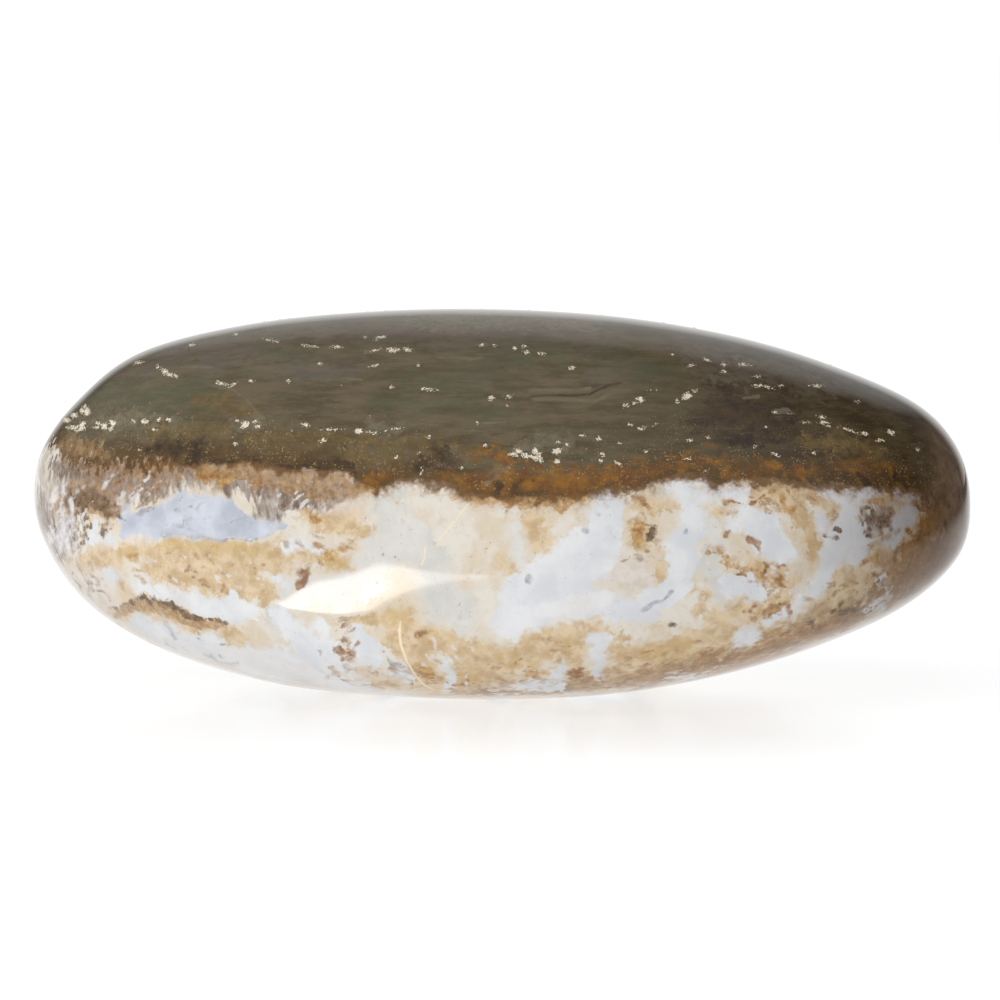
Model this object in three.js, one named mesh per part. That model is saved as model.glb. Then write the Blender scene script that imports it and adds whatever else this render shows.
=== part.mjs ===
// A tumbled jasper: one polished stone, long and low, lying on the flat that tumbling wore on its underside.
// Units are millimetres. +X runs along the stone towards its blunt end, -Y is the front, +Z is up.
// The origin is on the surface that the stone rests on, under the middle of its box.
//
// The stone starts as an egg-like body. Its side outline, seen from the front, shrinks towards the front and
// the back as a ball's does. Tumbling then wears soft flats on it, and a true flat underneath.
import * as THREE from 'three';

// ---- Driving dimensions ----

// The side outline [x, z], from the blunt end's tip over the top to the other tip and back underneath.
const SIDE_OUTLINE = [
  [29.9, 12.5], [29.1, 15.9], [26.4, 18.8], [20.8, 21.3], [14.7, 23.1], [7.6, 24.3],
  [0.0, 24.8], [-7.9, 24.7], [-16.1, 23.9], [-23.2, 22.1], [-27.2, 19.1], [-29.6, 15.8],
  [-30.1, 12.5], [-29.1, 9.3], [-26.7, 6.1], [-22.1, 3.3], [-15.4, 1.3], [-7.8, 0.5],
  [0.0, 0.3], [7.6, 0.7], [14.5, 1.9], [20.8, 3.8], [26.0, 6.2], [29.2, 9.2],
];
const MIDDLE_Z = 12.5; // height of the long axis
const FRONT_DEPTH = 18.0; // from the long axis to the front, before wear
const FRONT_DROP = 4.5; // how far the foremost point lies below the long axis
const BACK_DEPTH = 17.0;
const BLUNT_END_WIDTH = 0.08; // share by which the blunt end is wider than the middle, and the other end narrower

// Soft flats that tumbling wore: the way each one faces, how deep it is cut and how softly it runs out.
// azimuth is degrees from the front (-Y) towards +X, elevation is degrees above level.
const WORN_FLATS = [
  { azimuth: -12, elevation: 7, depth: 1.2, softness: 0.45 },
  { azimuth: 158, elevation: 22, depth: 1.1, softness: 0.5 },
  { azimuth: 205, elevation: -14, depth: 0.8, softness: 0.5 },
];
const RESTING_FLAT_DEPTH = 0.35;

const DETAIL = 15; // 20 * (DETAIL + 1)^2 triangles

// ---- The unworn body ----

const outline = new THREE.CatmullRomCurve3(
  SIDE_OUTLINE.map(([x, z]) => new THREE.Vector3(x, 0, z)),
  true,
  'catmullrom',
  0.5,
);

// Where a point of a unit ball lies on the unworn stone.
function bodyPoint(ball) {
  const turn = Math.atan2(ball.z, ball.x) / (2 * Math.PI);
  const reach = Math.hypot(ball.x, ball.z); // 1 on the outline, 0 at the front and the back
  const edge = outline.getPoint(turn < 0 ? turn + 1 : turn);
  const depth = (ball.y < 0 ? FRONT_DEPTH : BACK_DEPTH) * (1 + BLUNT_END_WIDTH * ball.x);
  const drop = ball.y < 0 ? FRONT_DROP * ball.y ** 2 : 0;
  return new THREE.Vector3(
    reach * edge.x,
    ball.y * depth,
    MIDDLE_Z - drop + reach * (edge.z - MIDDLE_Z),
  );
}

// ---- Wear ----

function facing(azimuth, elevation) {
  const a = THREE.MathUtils.degToRad(azimuth);
  const e = THREE.MathUtils.degToRad(elevation);
  return new THREE.Vector3(Math.sin(a) * Math.cos(e), -Math.cos(a) * Math.cos(e), Math.sin(e));
}

// Presses the points that stand past a plane back to it, easing in over the flat's softness.
function wearFlat(points, { azimuth, elevation, depth, softness }) {
  const normal = facing(azimuth, elevation);
  const plane = Math.max(...points.map((p) => p.dot(normal))) - depth;
  for (const p of points) {
    const pressed = softness * Math.log1p(Math.exp((p.dot(normal) - plane) / softness));
    p.addScaledVector(normal, -pressed);
  }
}

// Cuts the underside off level, and stands the stone on the cut.
function wearRestingFlat(points) {
  const floor = Math.min(...points.map((p) => p.z)) + RESTING_FLAT_DEPTH;
  for (const p of points) p.z = Math.max(p.z, floor) - floor;
}

// ---- The stone ----

function stoneGeometry() {
  const geometry = new THREE.IcosahedronGeometry(1, DETAIL);
  const position = geometry.getAttribute('position');
  const points = [];
  for (let i = 0; i < position.count; i++) {
    points.push(bodyPoint(new THREE.Vector3().fromBufferAttribute(position, i)));
  }
  for (const flat of WORN_FLATS) wearFlat(points, flat);
  wearRestingFlat(points);
  points.forEach((p, i) => position.setXYZ(i, p.x, p.y, p.z));
  geometry.computeBoundingBox();
  const box = geometry.boundingBox;
  geometry.translate(-(box.min.x + box.max.x) / 2, -(box.min.y + box.max.y) / 2, 0);
  geometry.computeVertexNormals();
  return geometry;
}

const jasper = new THREE.MeshStandardMaterial({ color: 0xa89478, roughness: 0.12, metalness: 0 });
const stone = new THREE.Mesh(stoneGeometry(), jasper);
stone.name = 'jasper_stone';

const root = new THREE.Group();
root.add(stone);
export default root;
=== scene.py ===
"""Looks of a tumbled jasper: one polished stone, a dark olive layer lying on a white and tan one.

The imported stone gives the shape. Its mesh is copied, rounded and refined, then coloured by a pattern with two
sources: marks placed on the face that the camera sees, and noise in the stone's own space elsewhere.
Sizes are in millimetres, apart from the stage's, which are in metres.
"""
import math
from collections import namedtuple

import bpy
import numpy as np
from mathutils import Euler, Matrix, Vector, noise
from mathutils.bvhtree import BVHTree
from mathutils.interpolate import poly_3d_calc


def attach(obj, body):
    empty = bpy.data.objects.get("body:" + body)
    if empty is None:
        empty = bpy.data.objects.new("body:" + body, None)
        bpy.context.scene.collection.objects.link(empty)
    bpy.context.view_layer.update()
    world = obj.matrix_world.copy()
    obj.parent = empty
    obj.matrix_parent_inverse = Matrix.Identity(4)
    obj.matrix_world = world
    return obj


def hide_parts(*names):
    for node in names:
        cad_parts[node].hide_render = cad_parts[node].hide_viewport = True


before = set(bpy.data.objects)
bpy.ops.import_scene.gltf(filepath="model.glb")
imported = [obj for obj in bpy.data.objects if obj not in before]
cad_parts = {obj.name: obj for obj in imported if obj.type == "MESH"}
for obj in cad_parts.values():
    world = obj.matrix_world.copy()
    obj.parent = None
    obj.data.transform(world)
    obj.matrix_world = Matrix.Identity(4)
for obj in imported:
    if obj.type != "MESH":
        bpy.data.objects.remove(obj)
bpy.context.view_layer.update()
MM = 0.001

# ---- The view that the marks are placed in ----
VIEW_ELEVATION = math.radians(5.0)
VIEW_DISTANCE = 370.0  # from the eye to the upright plane through the stone's middle
VIEW_AIM = np.array([-0.14, 0.0, 11.98])  # the point in the picture's middle
AIM_UP = 12.77  # how high that point is over the stone's lowest edge as seen
FRAME_WIDTH = 64.07  # the picture's width at that plane

# ---- Marks on the face, as seen ----
# Each mark is a row of beads (across, up, radius). across is measured from the stone's middle, up from its
# lowest edge. A mark's edge follows its beads, roughened by noise.
PALE_MARKS = {
    "blush": [
        [(-29.4, 13.6, 1.1), (-29.2, 12.4, 1.3), (-28.9, 10.6, 1.2), (-27.8, 8.8, 0.9), (-26.4, 7.0, 0.7),
         (-25.2, 6.4, 0.4)],
        [(6.6, 7.6, 0.5), (7.8, 8.6, 0.8), (8.8, 7.8, 1.2), (9.6, 7.2, 0.7)],
        [(-13.6, 12.6, 0.6), (-11.4, 12.3, 0.6), (-9.4, 12.0, 0.5)],
        [(-22.8, 14.0, 0.6), (-21.0, 14.2, 0.6), (-19.8, 13.9, 0.5)],
        [(18.8, 7.8, 0.6), (18.9, 7.2, 0.4)],
    ],
    "tan": [
        [(-24.4, 9.6, 0.3), (-22.3, 9.5, 0.6), (-20.4, 9.2, 1.1), (-18.3, 8.8, 1.3), (-16.4, 8.8, 1.3),
         (-14.6, 9.0, 0.9)],
        [(-22.6, 8.4, 0.5), (-20.6, 7.8, 0.6), (-18.6, 7.3, 0.6), (-16.6, 7.3, 0.8), (-15.1, 7.2, 0.8),
         (-15.0, 6.2, 0.4)],
        [(-27.4, 8.9, 0.5), (-25.9, 9.0, 0.5), (-24.6, 8.8, 0.5)],
        [(-24.5, 7.6, 0.2), (-24.3, 7.1, 0.2), (-23.8, 6.7, 0.2)],
        [(-13.8, 9.1, 0.4), (-12.4, 9.0, 0.4), (-11.2, 8.9, 0.6), (-10.2, 8.7, 0.6), (-9.6, 8.4, 0.3)],
        [(-12.6, 11.8, 0.6), (-11.2, 11.4, 0.7), (-9.8, 11.4, 0.6), (-8.8, 10.8, 0.4), (-7.8, 10.6, 0.2)],
        [(-24.8, 5.5, 0.4), (-22.6, 5.7, 0.5), (-20.6, 5.2, 0.5), (-19.4, 4.6, 0.45), (-18.2, 4.3, 0.4),
         (-16.9, 4.1, 0.5)],
        [(-10.6, 5.0, 0.3), (-9.4, 4.9, 0.35), (-8.2, 5.1, 0.4)],
        [(-7.4, 5.2, 0.6), (-6.4, 4.8, 0.9), (-6.8, 3.9, 0.9), (-5.4, 3.0, 0.8)],
        [(-5.4, 4.2, 0.8), (-4.0, 3.8, 0.9), (-2.6, 3.2, 0.9), (-1.0, 2.8, 0.9)],
        [(-5.6, 2.6, 0.8), (-5.0, 1.6, 0.8), (-4.4, 0.8, 0.6)],
        [(-9.6, 1.1, 0.3), (-8.4, 1.0, 0.35), (-7.0, 0.8, 0.3)],
        [(-2.9, 1.5, 0.7), (-1.6, 1.3, 0.8), (-0.2, 1.6, 0.6), (0.6, 1.5, 0.4)],
        [(-0.9, 2.6, 0.7), (0.3, 2.5, 0.8), (1.6, 2.8, 0.9), (3.0, 3.6, 1.2), (4.2, 3.6, 1.1),
         (4.7, 2.4, 0.7), (4.9, 1.2, 0.7)],
        [(4.0, 4.6, 0.4), (5.6, 4.6, 0.3), (6.4, 4.5, 0.25), (7.3, 4.1, 0.35), (8.4, 3.9, 0.3)],
        [(7.4, 3.0, 0.6), (8.6, 2.7, 1.0), (10.4, 2.8, 1.1), (12.2, 3.2, 1.2), (14.0, 4.0, 1.1),
         (13.8, 5.2, 0.7), (15.0, 5.8, 0.5)],
        [(5.0, 0.7, 0.5), (7.0, 1.3, 0.7), (9.0, 1.7, 0.8), (11.0, 2.2, 0.8), (13.0, 2.6, 0.8),
         (15.6, 3.0, 0.7), (17.6, 3.6, 0.7)],
        [(12.6, 5.6, 0.4), (13.2, 6.6, 0.4), (12.4, 7.0, 0.2)],
        [(15.2, 5.6, 0.6), (16.4, 5.5, 0.6), (17.6, 6.0, 0.7), (18.3, 6.8, 0.5), (18.7, 7.8, 0.5)],
        [(16.0, 8.6, 0.5), (17.0, 8.1, 0.6), (17.8, 7.6, 0.6)],
        [(16.4, 13.5, 0.5), (17.8, 13.2, 0.8), (18.8, 12.4, 0.8), (19.5, 11.2, 0.6), (19.9, 10.0, 0.5),
         (19.7, 9.0, 0.35)],
        [(19.6, 13.2, 0.5), (20.6, 12.8, 0.5), (21.3, 12.2, 0.4), (21.3, 11.6, 0.35)],
        [(13.6, 11.8, 0.4), (14.6, 11.8, 0.35)],
        [(8.9, 11.2, 0.5), (8.7, 10.4, 0.5), (8.8, 9.7, 0.4)],
        [(10.3, 8.3, 0.4), (10.6, 7.8, 0.3)],
        [(1.9, 11.0, 0.9), (2.7, 10.0, 0.7)],
        [(0.2, 8.9, 0.4), (0.2, 8.4, 0.4)],
        [(9.0, 12.4, 0.5), (10.2, 12.6, 0.4), (11.2, 12.4, 0.2)],
        [(22.2, 7.6, 0.8), (23.2, 7.6, 0.7), (22.4, 6.9, 1.1), (21.2, 6.4, 1.0), (20.2, 5.6, 0.7),
         (20.8, 5.0, 0.7)],
        [(16.8, 4.0, 0.5), (18.6, 4.2, 0.8), (20.4, 4.6, 0.8), (22.0, 5.0, 0.6)],
        [(23.6, 9.3, 0.5), (25.0, 8.8, 0.8), (25.9, 9.4, 0.9), (26.6, 10.4, 0.6), (27.0, 11.4, 0.5)],
    ],
    "golden": [
        [(-22.0, 9.9, 0.25), (-20.0, 9.9, 0.4), (-18.0, 9.6, 0.45), (-16.0, 9.7, 0.4), (-14.6, 10.2, 0.25)],
        [(-24.4, 9.3, 0.3), (-23.6, 9.4, 0.4)],
        [(-11.0, 9.0, 0.45), (-10.2, 8.8, 0.35)],
        [(-7.2, 5.5, 0.5), (-6.2, 5.3, 0.4)],
        [(-2.6, 1.3, 0.4), (-1.7, 1.3, 0.4)],
        [(-6.6, 0.8, 0.25), (-6.2, 0.8, 0.25)],
        [(9.4, 3.0, 0.5), (11.0, 3.2, 0.5), (12.0, 3.5, 0.4)],
        [(16.9, 4.2, 0.4), (17.8, 4.3, 0.35)],
        [(0.4, 2.4, 0.25), (1.0, 2.3, 0.2)],
    ],
    "brown_tan": [
        [(20.0, 4.6, 0.5), (21.4, 4.9, 0.5), (23.0, 5.2, 0.4)],
        # At the right end these marks are partly painted shade, where the light falls off.
        [(24.4, 6.6, 1.0), (25.2, 7.8, 1.1), (26.2, 8.6, 1.2), (26.9, 9.6, 1.1), (27.4, 10.8, 0.9),
         (27.8, 12.0, 0.8)],
        [(26.4, 7.2, 0.9), (27.6, 8.4, 1.0), (28.8, 10.2, 1.0), (29.6, 12.2, 0.9)],
        # A darker band along the bottom edge.
        [(-3.0, 0.3, 0.4), (0.0, 0.3, 0.4), (4.4, 0.5, 0.5), (8.4, 1.0, 0.6), (12.0, 1.9, 0.6),
         (16.0, 3.0, 0.7), (20.0, 4.2, 0.7), (23.0, 5.6, 0.7)],
    ],
    "pink_grey": [
        [(-29.6, 13.0, 0.5), (-29.4, 11.6, 0.6), (-28.9, 10.2, 0.5), (-28.3, 9.2, 0.3)],
        [(-28.4, 14.6, 0.8), (-26.6, 14.4, 1.0), (-24.6, 14.0, 1.2), (-22.6, 14.0, 1.0), (-20.6, 14.2, 0.7),
         (-18.6, 14.2, 0.5)],
        [(-18.0, 13.8, 0.5), (-16.6, 13.8, 0.8), (-14.8, 13.2, 0.9), (-12.8, 13.0, 0.8), (-11.4, 13.2, 0.6),
         (-9.8, 13.6, 0.4)],
        [(-15.6, 12.4, 0.5), (-14.6, 11.8, 0.5)],
        [(23.6, 11.5, 0.4), (24.4, 11.8, 0.5)],
        [(9.8, 14.3, 0.2), (10.2, 13.9, 0.2)],
    ],
    "cream_white": [
        [(13.2, 11.2, 0.5), (13.6, 10.2, 0.7), (13.2, 8.6, 0.7), (13.8, 7.6, 0.6), (14.2, 6.6, 0.5)],
        [(-6.0, 13.9, 0.3), (-6.9, 13.3, 0.5), (-7.6, 12.3, 0.8), (-7.0, 11.4, 1.2), (-6.6, 10.4, 1.7),
         (-7.6, 9.4, 1.3), (-8.8, 8.7, 0.8)],
        [(-5.6, 10.0, 1.3), (-4.6, 8.8, 1.3), (-4.2, 7.4, 1.2), (-4.0, 6.2, 1.2), (-3.0, 5.8, 1.2),
         (-2.4, 5.0, 0.8)],
        [(-13.4, 6.6, 0.8), (-11.0, 7.0, 0.9), (-8.6, 7.4, 1.0)],
        [(-14.4, 5.4, 0.8), (-13.2, 4.4, 0.9), (-12.6, 3.2, 0.8)],
        [(0.6, 10.6, 0.6), (1.4, 8.6, 0.5)],
    ],
    "white": [
        [(-28.0, 11.3, 0.4), (-28.0, 10.1, 0.55)],
        [(-26.0, 11.4, 0.3), (-26.2, 10.2, 0.35), (-25.0, 10.2, 0.3)],
        [(-28.1, 13.4, 0.3), (-27.9, 13.1, 0.25)],
        [(-25.3, 8.0, 0.4), (-24.9, 7.8, 0.4)],
        [(-23.2, 7.3, 0.35), (-21.5, 6.9, 0.35), (-20.2, 6.5, 0.4), (-18.8, 6.0, 0.6), (-17.5, 5.7, 0.9),
         (-16.4, 5.6, 0.7)],
        [(-17.3, 5.8, 0.6), (-17.2, 6.9, 0.35)],
        [(-23.3, 4.9, 0.6), (-22.0, 4.2, 0.8), (-20.5, 3.3, 0.8), (-18.6, 3.4, 0.7), (-17.8, 2.8, 0.7)],
        [(-16.4, 2.3, 0.9), (-14.0, 2.2, 1.0), (-12.0, 1.6, 0.7), (-9.8, 1.0, 0.5), (-8.6, 0.7, 0.3)],
        [(-14.2, 5.4, 0.6), (-13.4, 4.6, 0.7), (-12.6, 3.4, 0.8), (-12.0, 2.2, 0.8)],
        [(-11.7, 5.0, 0.4), (-11.3, 3.6, 0.5), (-11.2, 2.4, 0.5), (-10.0, 2.2, 0.3)],
        [(-9.2, 4.1, 0.6), (-8.8, 3.1, 0.9), (-8.2, 2.3, 0.6)],
        [(-6.6, 1.8, 0.5), (-6.2, 1.3, 0.4)],
        [(-13.9, 9.8, 0.4), (-12.6, 9.7, 0.35), (-11.6, 9.6, 0.2)],
        [(-14.4, 7.8, 0.2), (-13.9, 7.4, 0.2)],
        [(6.4, 12.9, 0.5), (7.2, 12.4, 0.8), (6.4, 11.2, 1.3), (5.9, 9.8, 1.6), (4.6, 8.4, 1.9),
         (3.2, 7.2, 2.0), (1.6, 6.2, 1.9), (0.4, 5.0, 1.1)],
        [(3.2, 6.6, 1.3), (6.0, 6.2, 0.9), (8.4, 5.6, 0.8), (10.6, 6.5, 0.8), (11.5, 7.4, 0.8),
         (11.6, 8.8, 0.9), (11.4, 9.9, 0.9)],
        [(11.4, 9.9, 0.7), (12.2, 11.2, 0.8), (12.2, 12.4, 0.7), (11.6, 13.2, 0.6), (12.4, 13.8, 0.4),
         (14.6, 13.6, 0.3)],
        [(10.7, 13.7, 0.4), (11.7, 13.8, 0.5)],
        [(12.6, 12.9, 0.5), (13.6, 13.2, 0.4), (14.8, 13.3, 0.5), (15.4, 13.2, 0.4)],
        [(14.9, 11.2, 0.6), (15.8, 11.6, 0.8), (16.6, 11.0, 1.2), (17.2, 10.2, 1.1), (17.8, 9.5, 0.8)],
        [(14.4, 7.4, 0.7), (15.6, 7.2, 0.8), (16.8, 6.7, 0.4)],
        [(20.6, 13.3, 0.3), (22.3, 13.0, 0.8), (23.6, 13.3, 0.45)],
        [(22.3, 12.4, 0.6), (21.8, 11.2, 0.8), (21.6, 10.2, 0.9), (21.1, 9.2, 0.7), (20.6, 8.0, 0.6),
         (19.9, 7.0, 0.45), (19.3, 6.3, 0.3)],
        [(20.4, 11.6, 0.35), (20.5, 11.0, 0.35)],
        [(19.3, 6.3, 0.3), (18.4, 5.4, 0.25), (17.0, 4.9, 0.2)],
        [(22.3, 10.8, 0.9), (23.0, 9.9, 0.7), (22.4, 9.3, 0.6)],
        [(26.0, 11.8, 0.5), (25.3, 11.0, 0.5), (25.0, 10.2, 0.5)],
        [(25.2, 13.2, 0.3), (26.4, 13.0, 0.3)],
        [(15.3, 3.9, 0.45), (16.1, 4.3, 0.35)],
        [(5.4, 4.0, 0.2), (6.2, 3.9, 0.4), (7.0, 4.0, 0.2)],
        [(6.2, 3.6, 0.5), (6.1, 2.6, 0.35), (6.1, 1.5, 0.3)],
        [(4.0, 2.2, 0.25), (3.6, 1.5, 0.45)],
        [(1.2, 0.8, 0.4), (2.8, 0.7, 0.4), (3.8, 0.9, 0.3)],
        [(-3.6, 2.3, 0.25), (-3.4, 1.4, 0.3), (-3.6, 0.6, 0.25)],
        [(24.5, 7.8, 0.25), (24.6, 6.9, 0.3), (24.1, 6.1, 0.2), (23.4, 5.6, 0.12)],
        [(10.8, 1.3, 0.2), (12.2, 1.5, 0.2)],
    ],
    "blue_white": [
        [(-25.0, 12.6, 0.15), (-24.0, 11.9, 0.6), (-23.4, 11.3, 0.7)],
        [(-22.0, 12.4, 0.3), (-20.4, 12.7, 0.4), (-19.2, 12.6, 0.4)],
        [(-24.2, 10.7, 0.4), (-22.8, 10.9, 0.5), (-20.5, 11.0, 0.5), (-18.0, 10.8, 0.6), (-16.4, 10.8, 0.5),
         (-15.0, 10.8, 0.3)],
        [(-23.4, 11.3, 0.6), (-21.5, 11.7, 0.8), (-19.5, 11.9, 1.2), (-18.0, 11.7, 1.2), (-16.5, 11.2, 0.7),
         (-14.9, 11.0, 0.4), (-13.8, 11.1, 0.15)],
    ],
    "ochre": [
        [(-19.3, 14.4, 0.35), (-18.4, 14.4, 0.5), (-17.4, 14.3, 0.3)],
        [(-23.8, 9.2, 0.15), (-23.5, 9.1, 0.15)],
        [(-10.0, 9.8, 0.25), (-9.4, 10.4, 0.25)],
        [(-12.2, 11.7, 0.3), (-11.6, 11.6, 0.2)],
        [(-12.0, 9.9, 0.08), (-11.4, 9.5, 0.1), (-10.8, 9.1, 0.1)],
        [(-5.2, 1.9, 0.35), (-4.8, 1.6, 0.3)],
        [(1.9, 1.9, 0.25), (2.3, 1.6, 0.25)],
        [(8.9, 11.2, 0.2), (8.7, 10.6, 0.3), (8.7, 9.9, 0.25)],
        [(14.2, 11.9, 0.2), (14.7, 11.8, 0.22)],
        [(13.0, 9.5, 0.2), (13.5, 9.8, 0.12), (14.1, 9.5, 0.12), (14.3, 9.0, 0.12), (14.5, 8.6, 0.25),
         (15.3, 8.5, 0.12), (16.1, 8.1, 0.15), (16.8, 7.5, 0.2)],
        [(17.8, 7.5, 0.3), (18.2, 7.8, 0.2)],
        [(17.9, 12.7, 0.3), (18.6, 12.0, 0.25)],
        [(21.2, 12.0, 0.25), (21.2, 11.5, 0.2)],
        [(23.4, 12.6, 0.12), (24.0, 12.8, 0.2), (24.9, 12.9, 0.2)],
        [(23.3, 8.9, 0.2), (24.1, 9.1, 0.3)],
        [(24.8, 8.2, 0.2), (25.4, 8.6, 0.2), (26.6, 8.9, 0.15)],
        [(-3.0, 12.9, 0.3), (-1.6, 12.8, 0.25), (0.6, 12.6, 0.3), (2.6, 12.7, 0.5), (4.2, 12.7, 0.5),
         (5.2, 13.0, 0.4)],
        [(-8.8, 13.6, 0.3), (-8.2, 13.2, 0.25)],
    ],
    "brown": [
        [(-28.4, 12.4, 0.5), (-27.2, 12.9, 1.0), (-26.0, 12.9, 1.0), (-25.0, 12.2, 0.6)],
        [(-24.8, 5.5, 0.25), (-23.8, 5.9, 0.3), (-22.8, 6.1, 0.4), (-21.6, 5.9, 0.45), (-20.4, 5.3, 0.4),
         (-19.2, 4.8, 0.35), (-18.0, 4.6, 0.2)],
        [(-24.0, 14.4, 0.4), (-22.6, 14.8, 0.4), (-21.0, 14.9, 0.3)],
        [(-19.6, 14.9, 0.3), (-16.4, 14.6, 0.6), (-14.8, 14.1, 0.8), (-12.8, 13.8, 0.9), (-10.6, 13.6, 0.8),
         (-9.0, 13.5, 0.5)],
        [(16.8, 5.4, 0.25), (17.4, 5.7, 0.25)],
        [(24.6, 7.6, 0.3), (25.6, 8.3, 0.35), (26.2, 8.8, 0.25)],
        [(21.1, 5.5, 0.25), (22.0, 5.5, 0.4), (22.8, 5.7, 0.25)],
    ],
    "rust": [
        [(-19.0, 14.4, 0.15), (-18.4, 14.5, 0.3), (-17.6, 14.4, 0.1)],
        [(-13.1, 7.4, 0.22), (-12.7, 7.9, 0.36), (-12.4, 8.4, 0.15)],
        [(-10.7, 3.3, 0.2), (-10.2, 3.0, 0.15)],
        [(14.3, 10.4, 0.18), (14.6, 10.7, 0.18)],
        [(15.9, 10.2, 0.25), (16.3, 9.9, 0.25), (16.5, 9.5, 0.12)],
        [(8.3, 13.0, 0.12), (8.9, 12.7, 0.12), (9.4, 12.4, 0.18)],
        [(16.8, 5.5, 0.18), (17.3, 5.8, 0.15)],
        [(14.3, 12.5, 0.08), (15.3, 12.5, 0.1), (16.0, 12.7, 0.1), (16.8, 13.1, 0.08)],
        [(-5.5, 4.4, 0.18), (-4.6, 4.3, 0.16)],
        [(4.4, 1.5, 0.25), (5.0, 1.5, 0.25)],
        [(-0.6, 13.2, 0.3), (0.4, 12.9, 0.3), (1.2, 12.7, 0.2)],
        [(-16.0, 13.8, 0.12), (-15.0, 13.6, 0.2)],
    ],
    "umber": [
        [(-25.0, 5.9, 0.06), (-24.0, 6.1, 0.08), (-23.2, 6.4, 0.1), (-22.6, 6.6, 0.15), (-22.0, 6.4, 0.18),
         (-21.2, 6.1, 0.2), (-20.5, 5.7, 0.18), (-19.7, 5.4, 0.2), (-19.0, 5.1, 0.15), (-18.4, 5.0, 0.1),
         (-17.8, 4.8, 0.06)],
        [(-28.2, 12.5, 0.25), (-27.2, 12.9, 0.6), (-26.0, 12.8, 0.65), (-25.2, 12.3, 0.3)],
        [(-27.0, 12.2, 0.25), (-26.8, 11.0, 0.12), (-26.6, 10.2, 0.05)],
        [(-25.2, 12.0, 0.25), (-25.2, 11.3, 0.15), (-25.6, 10.3, 0.06)],
        [(-24.5, 11.9, 0.1), (-24.0, 11.5, 0.06)],
        [(-26.6, 15.0, 0.3), (-25.4, 15.2, 0.3)],
        [(-24.8, 14.5, 0.1), (-24.0, 14.6, 0.1), (-23.4, 14.9, 0.08)],
        [(-22.6, 14.9, 0.08), (-23.2, 13.8, 0.06)],
        [(-14.0, 12.4, 0.12), (-13.7, 12.6, 0.1)],
        [(-20.2, 12.4, 0.08), (-19.9, 12.4, 0.08)],
        [(21.5, 10.85, 0.1), (21.7, 10.8, 0.12)],
        [(20.8, 10.3, 0.06), (21.3, 10.3, 0.08)],
        [(23.1, 12.1, 0.08), (23.15, 11.4, 0.08), (23.2, 10.9, 0.14), (23.9, 10.9, 0.08), (24.6, 11.2, 0.08)],
        [(23.1, 12.1, 0.05), (23.6, 12.2, 0.06)],
        [(24.5, 11.3, 0.05), (25.0, 11.9, 0.08), (25.0, 12.5, 0.05)],
        [(23.4, 10.6, 0.06), (24.0, 10.4, 0.06), (24.4, 10.3, 0.08)],
        [(26.3, 12.5, 0.12), (27.0, 12.1, 0.12)],
        [(21.2, 5.7, 0.12), (22.0, 5.6, 0.26), (22.8, 5.7, 0.12)],
        [(9.5, 11.4, 0.06), (10.0, 11.1, 0.08)],
        [(9.3, 10.4, 0.12), (9.7, 10.9, 0.08)],
        [(19.8, 5.1, 0.04), (19.8, 4.5, 0.04)],
        [(10.8, 4.8, 0.1), (11.0, 4.8, 0.08)],
    ],
    "frost": [
        [(-17.6, 2.9, 0.5), (-16.0, 2.4, 0.7), (-14.4, 2.1, 0.8), (-12.6, 1.8, 0.6)],
        [(-22.6, 3.9, 0.4), (-20.8, 3.2, 0.5), (-19.2, 2.8, 0.4)],
        [(2.4, 5.6, 0.5), (4.6, 6.0, 0.6), (6.6, 6.4, 0.5)],
    ],
    "grey": [
        [(8.9, 5.75, 0.2), (9.6, 6.0, 0.12), (10.4, 6.3, 0.12), (10.9, 6.8, 0.15)],
        [(1.7, 7.8, 0.06), (1.7, 7.4, 0.14)],
        [(5.1, 11.05, 0.08), (5.4, 11.0, 0.1)],
        [(5.9, 12.0, 0.08), (6.2, 11.7, 0.06)],
        [(-15.0, 11.3, 0.1), (-14.7, 11.6, 0.12)],
        [(-10.2, 5.1, 0.05), (-9.9, 4.5, 0.08), (-10.1, 4.0, 0.05)],
        [(-7.3, 2.7, 0.08), (-6.8, 2.2, 0.12), (-6.3, 2.0, 0.05)],
        [(-21.8, 5.5, 0.05), (-21.3, 4.7, 0.08), (-20.9, 3.7, 0.06)],
        [(-21.6, 3.4, 0.05), (-20.9, 3.1, 0.05)],
        [(-19.0, 3.0, 0.05), (-18.2, 2.5, 0.07), (-17.0, 2.15, 0.05)],
        [(-21.8, 10.7, 0.04), (-20.0, 10.55, 0.07), (-19.0, 10.35, 0.08), (-17.6, 10.15, 0.08),
         (-16.0, 10.3, 0.07), (-15.0, 10.55, 0.04)],
        [(-23.2, 11.9, 0.15), (-22.5, 12.3, 0.2)],
        [(-2.9, 5.35, 0.08), (-2.7, 5.3, 0.08)],
        [(11.8, 10.7, 0.12), (11.8, 11.0, 0.1)],
        [(-11.8, 3.1, 0.1), (-11.7, 3.0, 0.08)],
        [(-7.7, 3.05, 0.07), (-7.6, 3.05, 0.07)],
    ],
    "pale_line": [
        [(-2.1, 12.6, 0.04), (-3.0, 11.5, 0.05), (-3.9, 10.4, 0.08), (-4.1, 10.2, 0.04)],
        [(-4.9, 10.0, 0.03), (-5.0, 9.0, 0.05), (-5.2, 8.6, 0.04)],
        [(-6.5, 5.0, 0.04), (-6.6, 4.4, 0.09), (-6.5, 3.5, 0.08), (-6.1, 2.4, 0.06), (-5.6, 1.6, 0.06),
         (-5.1, 1.0, 0.06), (-4.3, 0.5, 0.05)],
    ],
}

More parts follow.
